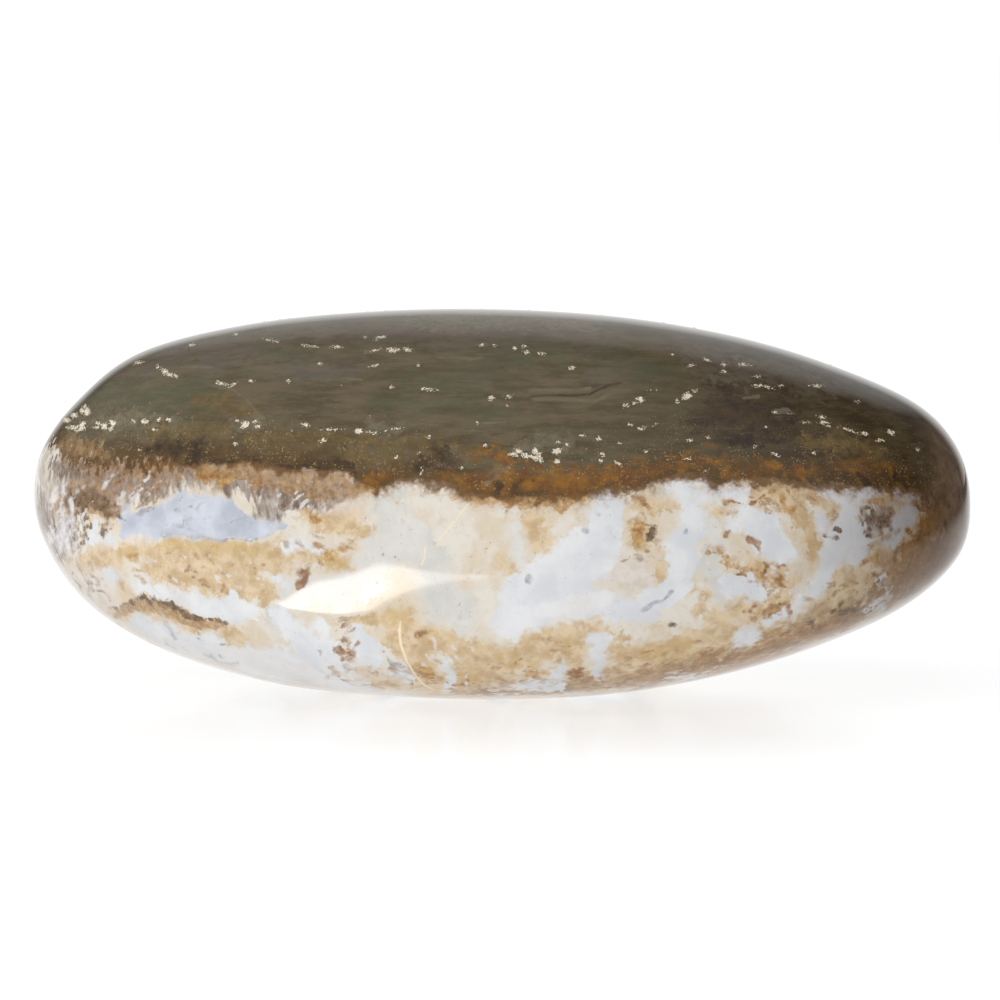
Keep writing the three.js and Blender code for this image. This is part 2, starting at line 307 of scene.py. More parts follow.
DARK_MARKS = {
    "mauve": [
        [(-25.0, 20.9, 0.3), (-22.0, 22.0, 0.5), (-18.0, 22.3, 0.8), (-14.0, 23.0, 0.5)],
        [(-20.0, 21.3, 0.3), (-18.0, 21.3, 0.3)],
        [(-15.0, 21.2, 0.5), (-12.0, 21.0, 0.6), (-9.0, 21.2, 0.3)],
        [(-12.0, 23.6, 0.4), (-8.0, 23.4, 0.6), (-3.0, 23.3, 0.9), (3.0, 23.4, 0.9), (7.0, 23.0, 0.6)],
        [(6.0, 20.7, 0.4), (7.4, 20.9, 0.4)],
        [(12.0, 22.0, 0.6), (17.0, 21.0, 0.6), (21.0, 19.8, 0.4)],
        [(13.6, 20.6, 0.3), (15.6, 20.4, 0.4)],
    ],
    "green": [
        [(-27.0, 19.6, 0.5), (-24.0, 19.5, 0.9), (-20.0, 19.6, 0.8), (-18.6, 19.9, 0.4)],
        [(-24.0, 18.6, 0.3), (-21.0, 18.5, 0.4), (-19.0, 18.6, 0.3)],
        [(-15.0, 22.0, 0.3), (-13.0, 22.1, 0.3)],
        [(-6.0, 20.6, 0.4), (-3.6, 20.3, 0.7), (-1.0, 21.2, 0.5), (1.0, 22.0, 0.5), (4.0, 21.8, 0.4)],
        [(7.0, 21.6, 0.5), (10.0, 21.0, 0.5)],
        [(-8.0, 19.0, 0.4), (-3.0, 18.8, 0.5), (0.0, 18.4, 0.4)],
    ],
    "olive_gold": [
        [(-19.4, 19.0, 0.4), (-17.8, 18.9, 0.6), (-16.2, 18.2, 0.4)],
        [(-22.0, 17.2, 0.3), (-19.6, 17.3, 0.4), (-18.0, 17.0, 0.4)],
        [(-16.0, 16.7, 0.3), (-13.0, 16.8, 0.4), (-10.0, 16.5, 0.4), (-7.0, 16.4, 0.4), (-3.6, 16.1, 0.3)],
        [(19.6, 16.6, 0.5), (22.0, 16.4, 0.6), (24.0, 15.8, 0.5)],
        [(-10.0, 15.4, 0.3), (-8.0, 15.2, 0.4), (-6.6, 15.6, 0.3)],
    ],
    "amber": [
        [(-28.2, 16.3, 0.3), (-27.2, 16.2, 0.55), (-26.2, 16.0, 0.5), (-25.6, 15.7, 0.3)],
        [(-0.8, 14.0, 0.3), (-0.2, 14.5, 0.3)],
    ],
    "haze": [
        # Painted sheen along the top edge: partly a lighter streak of the stone, partly a painted reflection.
        [(-6.0, 24.2, 0.3), (-2.0, 24.3, 0.5), (3.0, 24.3, 0.5), (6.0, 24.0, 0.3)],
        [(-4.0, 24.5, 0.4), (0.0, 24.6, 0.5), (4.0, 24.5, 0.4)],
        [(1.2, 16.3, 0.4), (2.6, 16.4, 0.5), (4.6, 16.3, 0.3)],
        [(-25.6, 17.8, 0.4), (-23.0, 17.9, 0.3), (-21.0, 17.8, 0.3)],
        [(-17.0, 17.7, 0.3), (-15.8, 17.7, 0.3)],
        [(-8.6, 17.3, 0.3), (-6.6, 17.4, 0.3)],
    ],
    "ochre_band": [
        [(-8.6, 14.0, 0.3), (-7.6, 14.3, 0.3)],
        [(-3.6, 14.2, 0.2), (-1.6, 13.8, 0.4)],
        [(-1.8, 15.8, 0.2), (-0.4, 15.6, 0.4), (0.6, 14.9, 0.5)],
        [(-0.6, 13.5, 0.5), (0.8, 14.1, 0.7), (2.4, 14.1, 0.9), (4.4, 13.9, 0.9), (6.6, 14.1, 0.6),
         (8.4, 14.5, 0.6), (9.6, 15.0, 0.4)],
        [(8.6, 15.0, 0.25), (11.0, 15.1, 0.3), (12.6, 15.1, 0.3), (14.5, 14.8, 0.2)],
        [(14.0, 14.6, 0.2), (17.0, 14.7, 0.2), (19.8, 14.5, 0.3)],
        [(21.6, 14.6, 0.2), (23.0, 14.7, 0.2), (24.6, 14.4, 0.2)],
    ],
    "deep_brown": [
        [(-22.4, 15.7, 0.3), (-20.8, 16.0, 0.4), (-19.8, 16.4, 0.5), (-19.0, 15.8, 0.3)],
        [(-20.0, 15.3, 0.12), (-18.0, 15.3, 0.15), (-15.6, 15.3, 0.15)],
        [(-14.2, 15.0, 0.4), (-12.8, 14.6, 0.7), (-11.2, 14.9, 0.5), (-9.8, 15.0, 0.3)],
        [(-5.2, 15.3, 0.3), (-4.0, 15.5, 0.6), (-3.0, 15.3, 0.3)],
        [(-0.4, 13.7, 0.3), (0.6, 13.6, 0.3), (1.4, 13.5, 0.2)],
        [(12.2, 17.9, 0.4), (13.4, 18.3, 0.8), (15.0, 18.6, 1.0), (16.4, 17.8, 1.2), (17.8, 17.2, 0.9),
         (18.6, 18.4, 0.6)],
        [(14.6, 16.8, 0.5), (16.8, 16.6, 0.6)],
        [(13.2, 20.1, 0.2), (14.2, 19.8, 0.25), (15.0, 19.4, 0.3)],
        [(17.4, 19.4, 0.3), (18.2, 19.8, 0.2)],
        [(19.6, 14.3, 0.2), (23.0, 14.2, 0.3), (25.0, 14.1, 0.4), (27.2, 14.0, 0.5), (27.4, 13.2, 0.3)],
    ],
    "pale_streak": [
        [(-1.1, 13.8, 0.1), (-0.4, 14.4, 0.24), (0.3, 14.9, 0.12), (0.8, 15.3, 0.05)],
        [(-18.6, 20.1, 0.03), (-17.2, 19.8, 0.06), (-16.4, 19.2, 0.06), (-15.8, 18.5, 0.06),
         (-15.3, 18.0, 0.04)],
        [(-4.2, 21.9, 0.03), (-2.8, 21.9, 0.06), (-2.0, 21.8, 0.08), (-1.2, 21.9, 0.04)],
        [(-20.6, 21.3, 0.03), (-19.0, 21.3, 0.08), (-18.2, 21.2, 0.04)],
        [(-10.2, 20.6, 0.03), (-9.0, 20.5, 0.05)],
        [(15.4, 19.3, 0.1), (16.4, 19.4, 0.12)],
        [(17.4, 18.4, 0.15), (18.2, 18.5, 0.2)],
        [(0.2, 17.75, 0.04), (-1.2, 17.7, 0.05)],
    ],
    "crack": [
        [(1.8, 19.4, 0.03), (3.0, 19.5, 0.07), (4.5, 19.45, 0.08), (5.6, 19.55, 0.08), (6.2, 19.85, 0.09),
         (6.8, 20.1, 0.08), (7.9, 20.35, 0.03)],
    ],
    "crack_lip": [
        [(2.0, 19.25, 0.08), (4.2, 19.2, 0.1), (5.9, 19.1, 0.12), (6.6, 19.4, 0.12), (7.2, 19.8, 0.08),
         (8.2, 19.8, 0.05)],
        [(1.8, 19.8, 0.1), (3.8, 19.8, 0.1), (4.9, 19.8, 0.08), (5.6, 19.9, 0.12)],
    ],
}

# Fine strokes strewn by seeded chance over an ellipse: (layer, its across, up, half length and half height,
# how many strokes, and their length, radius and lean in degrees from level).
STREWN = [
    ("purple", -28.4, 11.2, 1.2, 2.6, 24, 1.6, 0.05, 76),
    ("purple", -26.9, 7.4, 1.6, 1.2, 12, 1.2, 0.05, -52),
    ("umber", -27.2, 11.4, 1.2, 1.6, 14, 1.2, 0.06, 80),
    ("frost", -28.0, 11.2, 1.4, 2.4, 17, 1.4, 0.1, 74),
    ("grey", -20.0, 11.6, 3.4, 0.7, 9, 0.5, 0.05, 8),
    ("brown", -23.4, 14.3, 3.0, 0.8, 30, 0.9, 0.1, 52),
    ("purple", -24.0, 14.0, 3.0, 1.2, 84, 1.2, 0.1, 54),
    ("frost", -23.6, 13.4, 2.8, 0.7, 8, 0.9, 0.05, 54),
    ("umber", -25.0, 15.0, 2.6, 0.5, 22, 0.9, 0.08, 40),
    ("purple", -12.8, 13.2, 2.8, 1.2, 50, 0.8, 0.08, 60),
    ("frost", -14.0, 12.6, 2.0, 0.6, 10, 0.6, 0.06, 60),
    ("brown", -13.0, 13.9, 3.4, 0.8, 30, 0.6, 0.09, 50),
    ("purple", -20.6, 3.2, 3.4, 0.7, 16, 0.6, 0.04, -30),
    ("rust", -9.9, 3.8, 0.8, 1.2, 12, 0.8, 0.05, 35),
    ("brown", -19.5, 8.4, 4.8, 1.6, 34, 0.3, 0.05, -25),
    ("frost", -19.0, 8.0, 4.8, 1.6, 20, 0.3, 0.06, -25),
    ("brown", -12.0, 9.6, 2.6, 1.6, 12, 0.5, 0.05, -30),
    ("brown", -8.0, 1.5, 4.6, 0.8, 26, 0.9, 0.05, -18),
    ("brown", -4.4, 2.4, 2.8, 1.8, 20, 0.4, 0.06, -40),
    ("golden", -3.6, 2.3, 2.8, 1.7, 16, 0.6, 0.22, -40),
    ("frost", -3.4, 2.2, 3.2, 1.4, 9, 0.5, 0.06, -60),
    ("brown", 2.0, 2.4, 2.8, 1.8, 18, 0.4, 0.06, 20),
    ("golden", 2.6, 2.6, 2.8, 1.7, 14, 0.6, 0.22, 20),
    ("brown", 12.0, 2.7, 5.4, 1.0, 26, 0.5, 0.06, 12),
    ("golden", 12.0, 2.9, 4.6, 1.0, 14, 0.7, 0.22, 12),
    ("rust", 16.9, 8.0, 1.7, 0.9, 20, 0.45, 0.07, -30),
    ("frost", 16.9, 8.0, 1.6, 0.8, 8, 0.3, 0.08, 0),
    ("rust", 16.9, 5.5, 1.6, 0.6, 18, 0.4, 0.06, 20),
    ("brown", 17.0, 6.0, 2.2, 1.0, 20, 0.4, 0.06, 20),
    ("brown", 9.4, 10.8, 1.3, 1.0, 18, 0.35, 0.07, -30),
    ("purple", 9.2, 8.8, 1.4, 1.1, 14, 0.35, 0.06, 0),
    ("umber", 24.0, 11.2, 1.1, 0.9, 14, 0.6, 0.04, 70),
    ("brown", 17.8, 12.9, 2.4, 0.9, 34, 0.4, 0.08, -20),
    ("brown", 25.5, 8.6, 3.0, 2.2, 34, 0.7, 0.09, 40),
    ("brown", 21.6, 6.4, 2.2, 1.2, 20, 0.6, 0.07, 10),
    ("brown", 21.0, 4.8, 3.0, 0.5, 14, 0.6, 0.06, 20),
]
STREWN_FAN = 14.0  # how far the strokes' directions spread, in degrees

# The lower edge of the dark layer, as seen, from the left end to the right.
LAYER_EDGE = [
    (-30.5, 17.2), (-28.6, 16.6), (-28.0, 15.7), (-27.0, 15.4), (-25.0, 15.2), (-22.5, 15.2), (-20.0, 15.0),
    (-18.0, 15.2), (-15.5, 15.1), (-13.0, 14.8), (-10.0, 14.6), (-9.0, 14.0), (-8.2, 13.5), (-7.4, 13.6),
    (-6.4, 14.2), (-5.4, 14.3), (-4.8, 13.9), (-3.6, 14.0), (-2.6, 13.3), (-1.0, 13.1), (0.4, 12.9),
    (2.0, 13.0), (4.6, 13.1), (6.0, 13.3), (7.6, 13.6), (8.6, 13.5), (9.6, 14.0), (11.0, 14.4), (13.0, 14.2),
    (13.6, 13.8), (15.0, 14.2), (17.0, 14.2), (20.0, 13.8), (23.0, 13.8), (26.0, 13.5), (27.2, 12.9),
    (27.7, 12.8), (28.3, 11.6), (28.9, 9.8), (30.5, 7.0),
]
UNSEEN_EDGE = 14.0  # the dark layer's lower edge on the sides that aren't seen, level with the front's
UNSEEN_DIP = 0.14  # how much lower it lies for each millimetre towards the back

# Sparkling pits, as seen: (across, up, half length, half height, tilt in degrees).
PITS = [
    (-27.9, 17.9, 0.25, 0.15, 0), (-27.4, 18.2, 0.2, 0.15, 0), (-27.5, 17.4, 0.35, 0.12, 0),
    (-27.0, 17.3, 0.3, 0.12, 20), (-26.9, 17.6, 0.3, 0.15, 35), (-26.9, 18.5, 0.15, 0.2, 0),
    (-26.6, 18.4, 0.2, 0.25, 0), (-26.7, 18.8, 0.1, 0.1, 0), (-26.0, 17.4, 0.15, 0.08, 0),
    (-25.9, 17.7, 0.12, 0.15, 0), (-25.5, 17.5, 0.2, 0.2, 0), (-24.95, 17.7, 0.22, 0.2, 0),
    (-25.1, 17.3, 0.15, 0.12, 0), (-23.3, 21.6, 0.25, 0.08, 10), (-22.1, 21.3, 0.1, 0.12, 0),
    (-21.6, 21.0, 0.25, 0.12, -25), (-21.3, 20.8, 0.35, 0.12, -10), (-20.9, 20.7, 0.15, 0.08, 0),
    (-19.9, 22.7, 0.15, 0.06, 20), (-17.1, 23.4, 0.12, 0.06, 0), (-18.0, 20.25, 0.3, 0.1, -10),
    (-17.3, 20.15, 0.25, 0.08, 20), (-16.1, 20.4, 0.15, 0.06, 0), (-16.5, 17.6, 0.3, 0.2, 30),
    (-17.0, 17.85, 0.12, 0.08, 0), (-15.8, 17.8, 0.15, 0.1, 15), (-15.7, 17.5, 0.15, 0.08, 0),
    (-17.1, 16.35, 0.15, 0.12, 20), (-23.6, 17.8, 0.12, 0.08, 0), (-22.9, 17.8, 0.2, 0.15, 0),
    (-22.0, 17.9, 0.1, 0.1, 0), (-21.4, 17.9, 0.2, 0.08, 0), (-22.3, 17.3, 0.1, 0.05, 0),
    (-23.2, 16.0, 0.1, 0.06, 0), (-15.0, 23.05, 0.2, 0.06, 0), (-14.5, 22.95, 0.12, 0.05, 0),
    (-12.7, 22.7, 0.1, 0.05, 0), (-12.2, 22.6, 0.25, 0.04, 0), (-10.6, 22.6, 0.25, 0.08, 0),
    (-8.8, 23.2, 0.1, 0.06, 0), (-7.7, 23.2, 0.25, 0.07, 0), (-8.1, 23.05, 0.1, 0.05, 0),
    (-8.2, 22.35, 0.35, 0.08, 15), (-7.0, 22.4, 0.35, 0.14, 0), (-6.1, 22.4, 0.22, 0.1, 0),
    (-11.7, 21.5, 0.12, 0.07, 0), (-8.2, 21.4, 0.25, 0.05, 20), (-5.4, 21.4, 0.08, 0.08, 0),
    (-13.7, 20.4, 0.1, 0.09, 0), (-10.3, 20.1, 0.06, 0.06, 0), (-7.1, 20.0, 0.12, 0.06, 0),
    (-4.7, 19.85, 0.38, 0.1, -5), (-1.3, 22.7, 0.18, 0.07, 0), (-0.5, 22.7, 0.1, 0.05, 0),
    (-0.7, 19.3, 0.18, 0.14, 0), (0.4, 19.4, 0.18, 0.08, 0), (0.3, 18.9, 0.05, 0.1, 0),
    (-1.6, 17.7, 0.08, 0.05, 0), (-12.6, 17.6, 0.2, 0.12, 0), (-13.5, 17.2, 0.1, 0.12, 0),
    (-11.5, 16.6, 0.18, 0.12, 15), (-11.0, 17.3, 0.35, 0.05, 0), (-9.2, 17.2, 0.25, 0.18, 0),
    (-8.4, 17.1, 0.35, 0.07, -10), (-6.9, 17.3, 0.3, 0.05, 10), (-4.7, 16.8, 0.16, 0.1, 0),
    (-4.9, 16.1, 0.1, 0.07, 0), (-5.3, 15.8, 0.1, 0.06, 0), (-1.1, 16.3, 0.12, 0.08, 0),
    (-6.8, 15.5, 0.15, 0.07, 40), (-8.5, 18.1, 0.07, 0.07, 0), (-2.6, 14.8, 0.1, 0.08, 0),
    (-5.2, 14.6, 0.06, 0.15, 0), (0.7, 15.7, 0.3, 0.15, 0), (1.0, 15.9, 0.2, 0.15, 0),
    (1.5, 15.6, 0.3, 0.15, -20), (2.0, 15.5, 0.35, 0.12, -15), (2.4, 15.6, 0.15, 0.25, 0),
    (2.1, 15.9, 0.2, 0.2, 0), (2.4, 15.3, 0.2, 0.1, 0), (3.5, 15.9, 0.3, 0.2, 15),
    (3.5, 15.25, 0.18, 0.15, 0), (4.15, 16.3, 0.12, 0.1, 0), (3.6, 16.5, 0.1, 0.05, 0),
    (5.15, 16.9, 0.12, 0.06, 0), (6.15, 16.7, 0.15, 0.14, -30), (6.4, 15.7, 0.1, 0.15, 0),
    (6.3, 15.3, 0.15, 0.1, 0), (7.4, 15.15, 0.18, 0.1, -20), (7.9, 18.85, 0.17, 0.12, 0),
    (8.85, 19.2, 0.25, 0.14, -25), (8.5, 19.0, 0.15, 0.08, 0), (8.9, 17.35, 0.17, 0.12, 0),
    (9.2, 17.5, 0.1, 0.06, 0), (7.3, 17.2, 0.08, 0.05, 0), (7.45, 16.4, 0.08, 0.06, 0),
    (9.2, 15.9, 0.12, 0.07, 0), (11.8, 19.4, 0.3, 0.2, 20), (11.2, 19.1, 0.12, 0.12, 0),
    (12.35, 19.75, 0.12, 0.07, 0), (12.1, 21.4, 0.18, 0.07, 10), (14.2, 21.45, 0.16, 0.1, 0),
    (14.2, 21.0, 0.16, 0.09, 0), (15.5, 21.45, 0.3, 0.08, 0), (0.8, 22.5, 0.14, 0.1, 0),
    (1.4, 22.6, 0.14, 0.08, 0), (1.55, 22.25, 0.14, 0.1, 0), (2.5, 22.15, 0.18, 0.08, 0),
    (4.4, 21.25, 0.2, 0.1, 0), (10.9, 22.1, 0.08, 0.05, 0), (13.1, 21.75, 0.2, 0.05, -20),
    (9.7, 19.8, 0.15, 0.04, 0), (12.0, 16.6, 0.2, 0.08, 0), (13.2, 16.8, 0.1, 0.06, 0),
    (9.8, 17.6, 0.1, 0.05, 30), (8.2, 17.6, 0.12, 0.06, 0), (11.9, 15.4, 0.15, 0.05, 0),
    (13.1, 14.7, 0.12, 0.06, 0), (16.4, 20.1, 0.25, 0.08, 0), (17.0, 20.0, 0.3, 0.06, -20),
    (16.3, 20.7, 0.18, 0.05, 0), (17.8, 20.1, 0.12, 0.04, 0), (20.1, 20.1, 0.25, 0.07, 0),
    (22.75, 19.1, 0.14, 0.06, 0), (20.4, 18.1, 0.2, 0.08, -15), (20.6, 17.75, 0.3, 0.09, 0),
    (20.9, 17.5, 0.12, 0.06, -30), (19.3, 17.75, 0.13, 0.05, 0), (19.7, 17.7, 0.1, 0.06, 0),
    (22.2, 17.25, 0.4, 0.06, -20), (23.2, 17.05, 0.18, 0.09, -15), (24.9, 17.1, 0.25, 0.13, -20),
    (24.2, 16.6, 0.18, 0.08, 0), (26.6, 16.0, 0.1, 0.07, 0), (17.5, 15.7, 0.22, 0.08, -30),
    (16.2, 16.2, 0.13, 0.1, 0), (16.9, 17.4, 0.08, 0.12, 0), (18.5, 18.35, 0.1, 0.05, 0),
    (17.5, 18.4, 0.1, 0.06, 0), (20.0, 15.8, 0.12, 0.06, 0),
]

# ---- Layers, from the lowest to the topmost ----
# dark and light: a layer's two paints, in 0 to 255 as they show. cover: how much of what is below it hides.
# soft and ragged: how blurred its edge is and how far it wanders, in mm. weave: the noise that mottles it.
# patch and share: the size of its patches where no mark is placed, in mm, and how much they fill.
Layer = namedtuple("Layer", "dark light cover soft ragged weave patch share")
PALE_LAYERS = {
    "blush": Layer((212, 200, 188), (226, 218, 210), 0.9, 0.7, 0.5, "mottle", 6.0, 0.36),
    "tan": Layer((194, 165, 125), (224, 202, 168), 0.9, 0.35, 0.35, "mottle", 5.0, 0.50),
    "golden": Layer((196, 164, 110), (214, 188, 142), 0.75, 0.4, 0.3, "mottle", 4.0, 0.34),
    # Brown tan, which at the right end is partly painted shade.
    "brown_tan": Layer((126, 87, 44), (170, 127, 74), 0.9, 0.6, 0.5, "mottle", 6.0, 0.36),
    "pink_grey": Layer((101, 84, 71), (159, 144, 132), 0.9, 0.6, 0.5, "fibre", 7.0, 0.34),
    "cream_white": Layer((207, 206, 200), (222, 220, 215), 0.95, 0.4, 0.3, "cloud", 5.0, 0.30),
    "white": Layer((214, 217, 222), (230, 231, 233), 0.95, 0.25, 0.25, "cloud", 5.0, 0.40),
    "blue_white": Layer((182, 188, 201), (212, 217, 228), 0.95, 0.2, 0.2, "cloud", 7.0, 0.25),
    "ochre": Layer((158, 112, 58), (206, 168, 112), 0.8, 0.2, 0.25, "grit", 3.0, 0.24),
    "rust": Layer((124, 82, 50), (172, 128, 88), 0.85, 0.12, 0.18, "grit", 2.0, 0.16),
    "brown": Layer((146, 114, 78), (190, 156, 114), 0.75, 0.14, 0.15, "grit", 2.5, 0.2),
    "umber": Layer((88, 68, 50), (134, 110, 88), 0.9, 0.14, 0.2, "grit", 2.5, 0.16),
    "purple": Layer((124, 103, 90), (164, 144, 130), 0.7, 0.1, 0.1, "grit", 2.5, 0.14),
    "frost": Layer((222, 220, 218), (232, 230, 230), 0.8, 0.1, 0.1, "cloud", 2.5, 0.14),
    "grey": Layer((152, 154, 162), (190, 191, 198), 0.8, 0.12, 0.08, "grit", 2.0, 0.16),
    "pale_line": Layer((250, 234, 196), (238, 224, 200), 0.9, 0.05, 0.02, "cloud", 2.0, 0.0),
}
DARK_LAYERS = {
    "mauve": Layer((112, 101, 90), (100, 93, 84), 0.75, 0.7, 0.6, "streak", 7.0, 0.44),
    "green": Layer((86, 86, 69), (98, 97, 78), 0.75, 0.7, 0.6, "streak", 6.0, 0.44),
    "olive_gold": Layer((98, 83, 56), (124, 104, 70), 0.7, 0.5, 0.5, "mottle", 5.0, 0.3),
    "amber": Layer((126, 98, 64), (160, 134, 98), 0.85, 0.4, 0.4, "mottle", 4.0, 0.12),
    "ochre_band": Layer((112, 76, 35), (150, 106, 52), 0.85, 0.7, 0.6, "mottle", 5.0, 0.16),
    "deep_brown": Layer((60, 52, 43), (82, 68, 52), 0.85, 0.5, 0.5, "mottle", 4.0, 0.26),
    # Lighter streaks in the dark layer. Along the top edge they are partly a painted sheen.
    "haze": Layer((144, 136, 118), (118, 110, 92), 0.42, 0.5, 0.5, "grit", 3.0, 0.16),
    "pale_streak": Layer((132, 122, 104), (118, 110, 92), 0.6, 0.06, 0.04, "streak", 2.0, 0.0),
    "crack_lip": Layer((130, 118, 95), (112, 102, 82), 0.8, 0.12, 0.03, "streak", 2.0, 0.0),
    "crack": Layer((68, 58, 44), (78, 68, 52), 0.85, 0.08, 0.02, "streak", 2.0, 0.0),
}
STREAK = (1.0, 0.6, 0.2)  # the dark layer's streaks lie level and run along the stone
ROUND = (1.0, 1.0, 1.0)

# The other colours, as they show.
CREAM = (226, 220, 210)
WARM_CREAM = (218, 204, 182)
BUFF = (206, 180, 144)
BROWN_FLECK = (160, 126, 90)
CREAM_FLECK = (238, 226, 206)
GREY_FLECK = (150, 138, 130)
DEEP_OLIVE = (90, 80, 62)
OLIVE = (108, 97, 77)
MOSS = (90, 90, 72)
TAUPE = (112, 100, 84)
RIGHT_OLIVES = ((72, 62, 47), (88, 77, 60))
LOW_BROWN = (96, 74, 47)
PALE_HAIR = (134, 122, 104)
DARK_HAIR = (66, 62, 50)
TAN_GRIT = (186, 160, 114)
PALE_SPARK = (206, 192, 164)
HALO_BROWN = (156, 122, 84)
RIM_BROWN = (110, 82, 54)
# The pale layer's browns at the right end: partly the stone's own brown, partly painted shade where the light
# falls off.
PALE_END_BROWNS_AND_SHADE = ((70, 48, 28), (111, 85, 58))
DARK_END_BROWNS = ((108, 84, 62), (156, 128, 106))
PIT_BEIGES = ((150, 138, 112), (238, 228, 208))
QUARTZES = ((180, 160, 130), (252, 244, 228))

# Where the looks change, in mm across the stone: none of the change at the first number, all at the second.
FIBROUS_END = (-19.0, -24.0)  # the edge between the layers turns fibrous
BROWNER_DARK = (4.0, 20.0)
# The pale layer darkens towards the right end: browner stone and painted shade.
BROWNER_SHADED_PALE_END = (16.0, 30.0)
BROWNER_DARK_END = (25.5, 29.0)
SOFTER_EDGE = (26.0, 28.5)

# The same in mm over the dark layer's lower edge.
LOW_BROWN_BAND = (1.9, 0.3)
GRIT_BAND = (4.5, 1.0)
SPARK_BAND = (6.0, 2.0)
HALO_BAND = (-1.3, -0.1)
RIM_BAND = (-0.6, -0.05)

# ---- Meshes as arrays ----

# How a triangle abc is split when the new points A on ab, B on bc and C on ca are there, as bits 1, 2 and 4.
SPLITS = {
    0: ["abc"],
    1: ["aAc", "Abc"],
    2: ["abB", "aBc"],
    3: ["AbB", "aAB", "aBc"],
    4: ["abC", "Cbc"],
    5: ["aAC", "Abc", "AcC"],
    6: ["BcC", "abB", "aBC"],
    7: ["aAC", "AbB", "BcC", "ABC"],
}


def arrays_of(mesh):
    """The mesh's corners in mm with doubles welded, and its triangles."""
    found = np.empty(len(mesh.vertices) * 3, np.float32)
    mesh.vertices.foreach_get("co", found)
    mesh.calc_loop_triangles()
    corners = np.empty(len(mesh.loop_triangles) * 3, np.int32)
    mesh.loop_triangles.foreach_get("vertices", corners)
    places = found.reshape(-1, 3).astype(float) / MM
    _, first, same = np.unique(places.round(4), axis=0, return_index=True, return_inverse=True)
    return places[first], same.ravel()[corners].reshape(-1, 3)


def edges_of(triangles):
    """The mesh's edges, and the numbers of each triangle's own three: 0-1, 1-2 and 2-0."""
    sides = np.stack([triangles, np.roll(triangles, -1, axis=1)], axis=-1).reshape(-1, 2)
    edges, owner = np.unique(np.sort(sides, axis=1), axis=0, return_inverse=True)
    return edges, owner.ravel().reshape(-1, 3)


def normals_of(places, triangles):
    """The smooth normal at each point: the mean of its triangles', by their areas."""
    a, b, c = (places[triangles[:, i]] for i in range(3))
    faces = np.cross(b - a, c - a)
    found = np.zeros_like(places)
    for corner in range(3):
        np.add.at(found, triangles[:, corner], faces)
    return found / np.linalg.norm(found, axis=1)[:, None]


def relaxed(places, edges):
    """Each point drawn towards its neighbours, as Loop's subdivision does."""
    count = np.bincount(edges.ravel(), minlength=len(places))
    around = np.zeros_like(places)
    np.add.at(around, edges[:, 0], places[edges[:, 1]])
    np.add.at(around, edges[:, 1], places[edges[:, 0]])
    share = 5 / 8 - (3 / 8 + np.cos(2 * np.pi / count) / 4) ** 2
    return places * (1 - share)[:, None] + around * (share / count)[:, None]


def bowed_middles(places, triangles, edges):
    """The middle of each edge, lifted to the curve that the normals at its two ends give it."""
    normals = normals_of(places, triangles)
    start, end = places[edges[:, 0]], places[edges[:, 1]]
    lift = np.zeros_like(start)
    for tip, sign in ((0, 1), (1, -1)):
        normal = normals[edges[:, tip]]
        lift -= sign * ((end - start) * normal).sum(axis=1)[:, None] * normal / 8
    return (start + end) / 2 + lift


def split_edges(places, triangles, edges, sides, split):
    """Splits the chosen edges at their bowed middles, and the triangles beside them to match."""
    number = np.full(len(edges), -1)
    number[split] = len(places) + np.arange(split.sum())
    cut = number[sides]
    pattern_of = (cut >= 0) @ np.array([1, 2, 4])
    made = []
    for pattern, pieces in SPLITS.items():
        rows = np.flatnonzero(pattern_of == pattern)
        named = dict(zip("abcABC", [*triangles[rows].T, *cut[rows].T]))
        made += [np.stack([named[corner] for corner in piece], axis=-1) for piece in pieces]
    return np.concatenate([places, bowed_middles(places, triangles, edges[split])]), np.concatenate(made)


def mesh_from(name, places, triangles, smooth):
    """A new object that holds the triangles. Places are in mm."""
    mesh = bpy.data.meshes.new(name)
    mesh.vertices.add(len(places))
    mesh.vertices.foreach_set("co", (places * MM).astype(np.float32).ravel())
    mesh.loops.add(len(triangles) * 3)
    mesh.loops.foreach_set("vertex_index", triangles.astype(np.int32).ravel())
    mesh.polygons.add(len(triangles))
    mesh.polygons.foreach_set("loop_start", np.arange(len(triangles), dtype=np.int32) * 3)
    mesh.polygons.foreach_set("use_smooth", np.full(len(triangles), smooth))
    mesh.update(calc_edges=True)
    return placed(name, mesh)


def placed(name, data):
    """A new object in the scene, with this mesh, lamp or camera in it."""
    made = bpy.data.objects.new(name, data)
    bpy.context.scene.collection.objects.link(made)
    return made


def store(piece, name, values):
    """Keeps one number per point on the piece's mesh, for its material to read."""
    attribute = piece.data.attributes.new(name, "FLOAT", "POINT")
    attribute.data.foreach_set("value", values.astype(np.float32))


# ---- The view and the marks ----
TOWARDS_EYE = np.array([0.0, -math.cos(VIEW_ELEVATION), math.sin(VIEW_ELEVATION)])
UP_AS_SEEN = np.array([0.0, math.sin(VIEW_ELEVATION), math.cos(VIEW_ELEVATION)])
FAR_OUTSIDE = 2.0  # the depth given to points far from any mark, in mm
WAVES = ((5.0, 0.22), (2.0, 0.2), (0.9, 0.12))  # the length and the reach of the waves in the marks' edges
WAVES_SUMMED = 5
WAVE_SPREAD = (0.6, 1.4)  # each wave's length as a share of its set's
WAVE_SEED = 3
STEADY = ("crack", "crack_lip", "pale_streak", "pale_line")  # the layers whose marks have no waves
STROKE_SEED = 11
STROKE_HALVES = (0.25, 0.75)  # a strewn stroke's half length, as a share of its row's length
STROKE_WIDTHS = (0.6, 1.3)  # its radius, as a share of its row's
STROKE_TIP = 0.4  # and its radius at its tips, as a share of its radius in the middle
PATCH_SHIFT = (11.3, 7.7, 3.1)  # from one layer's noise to the next one's
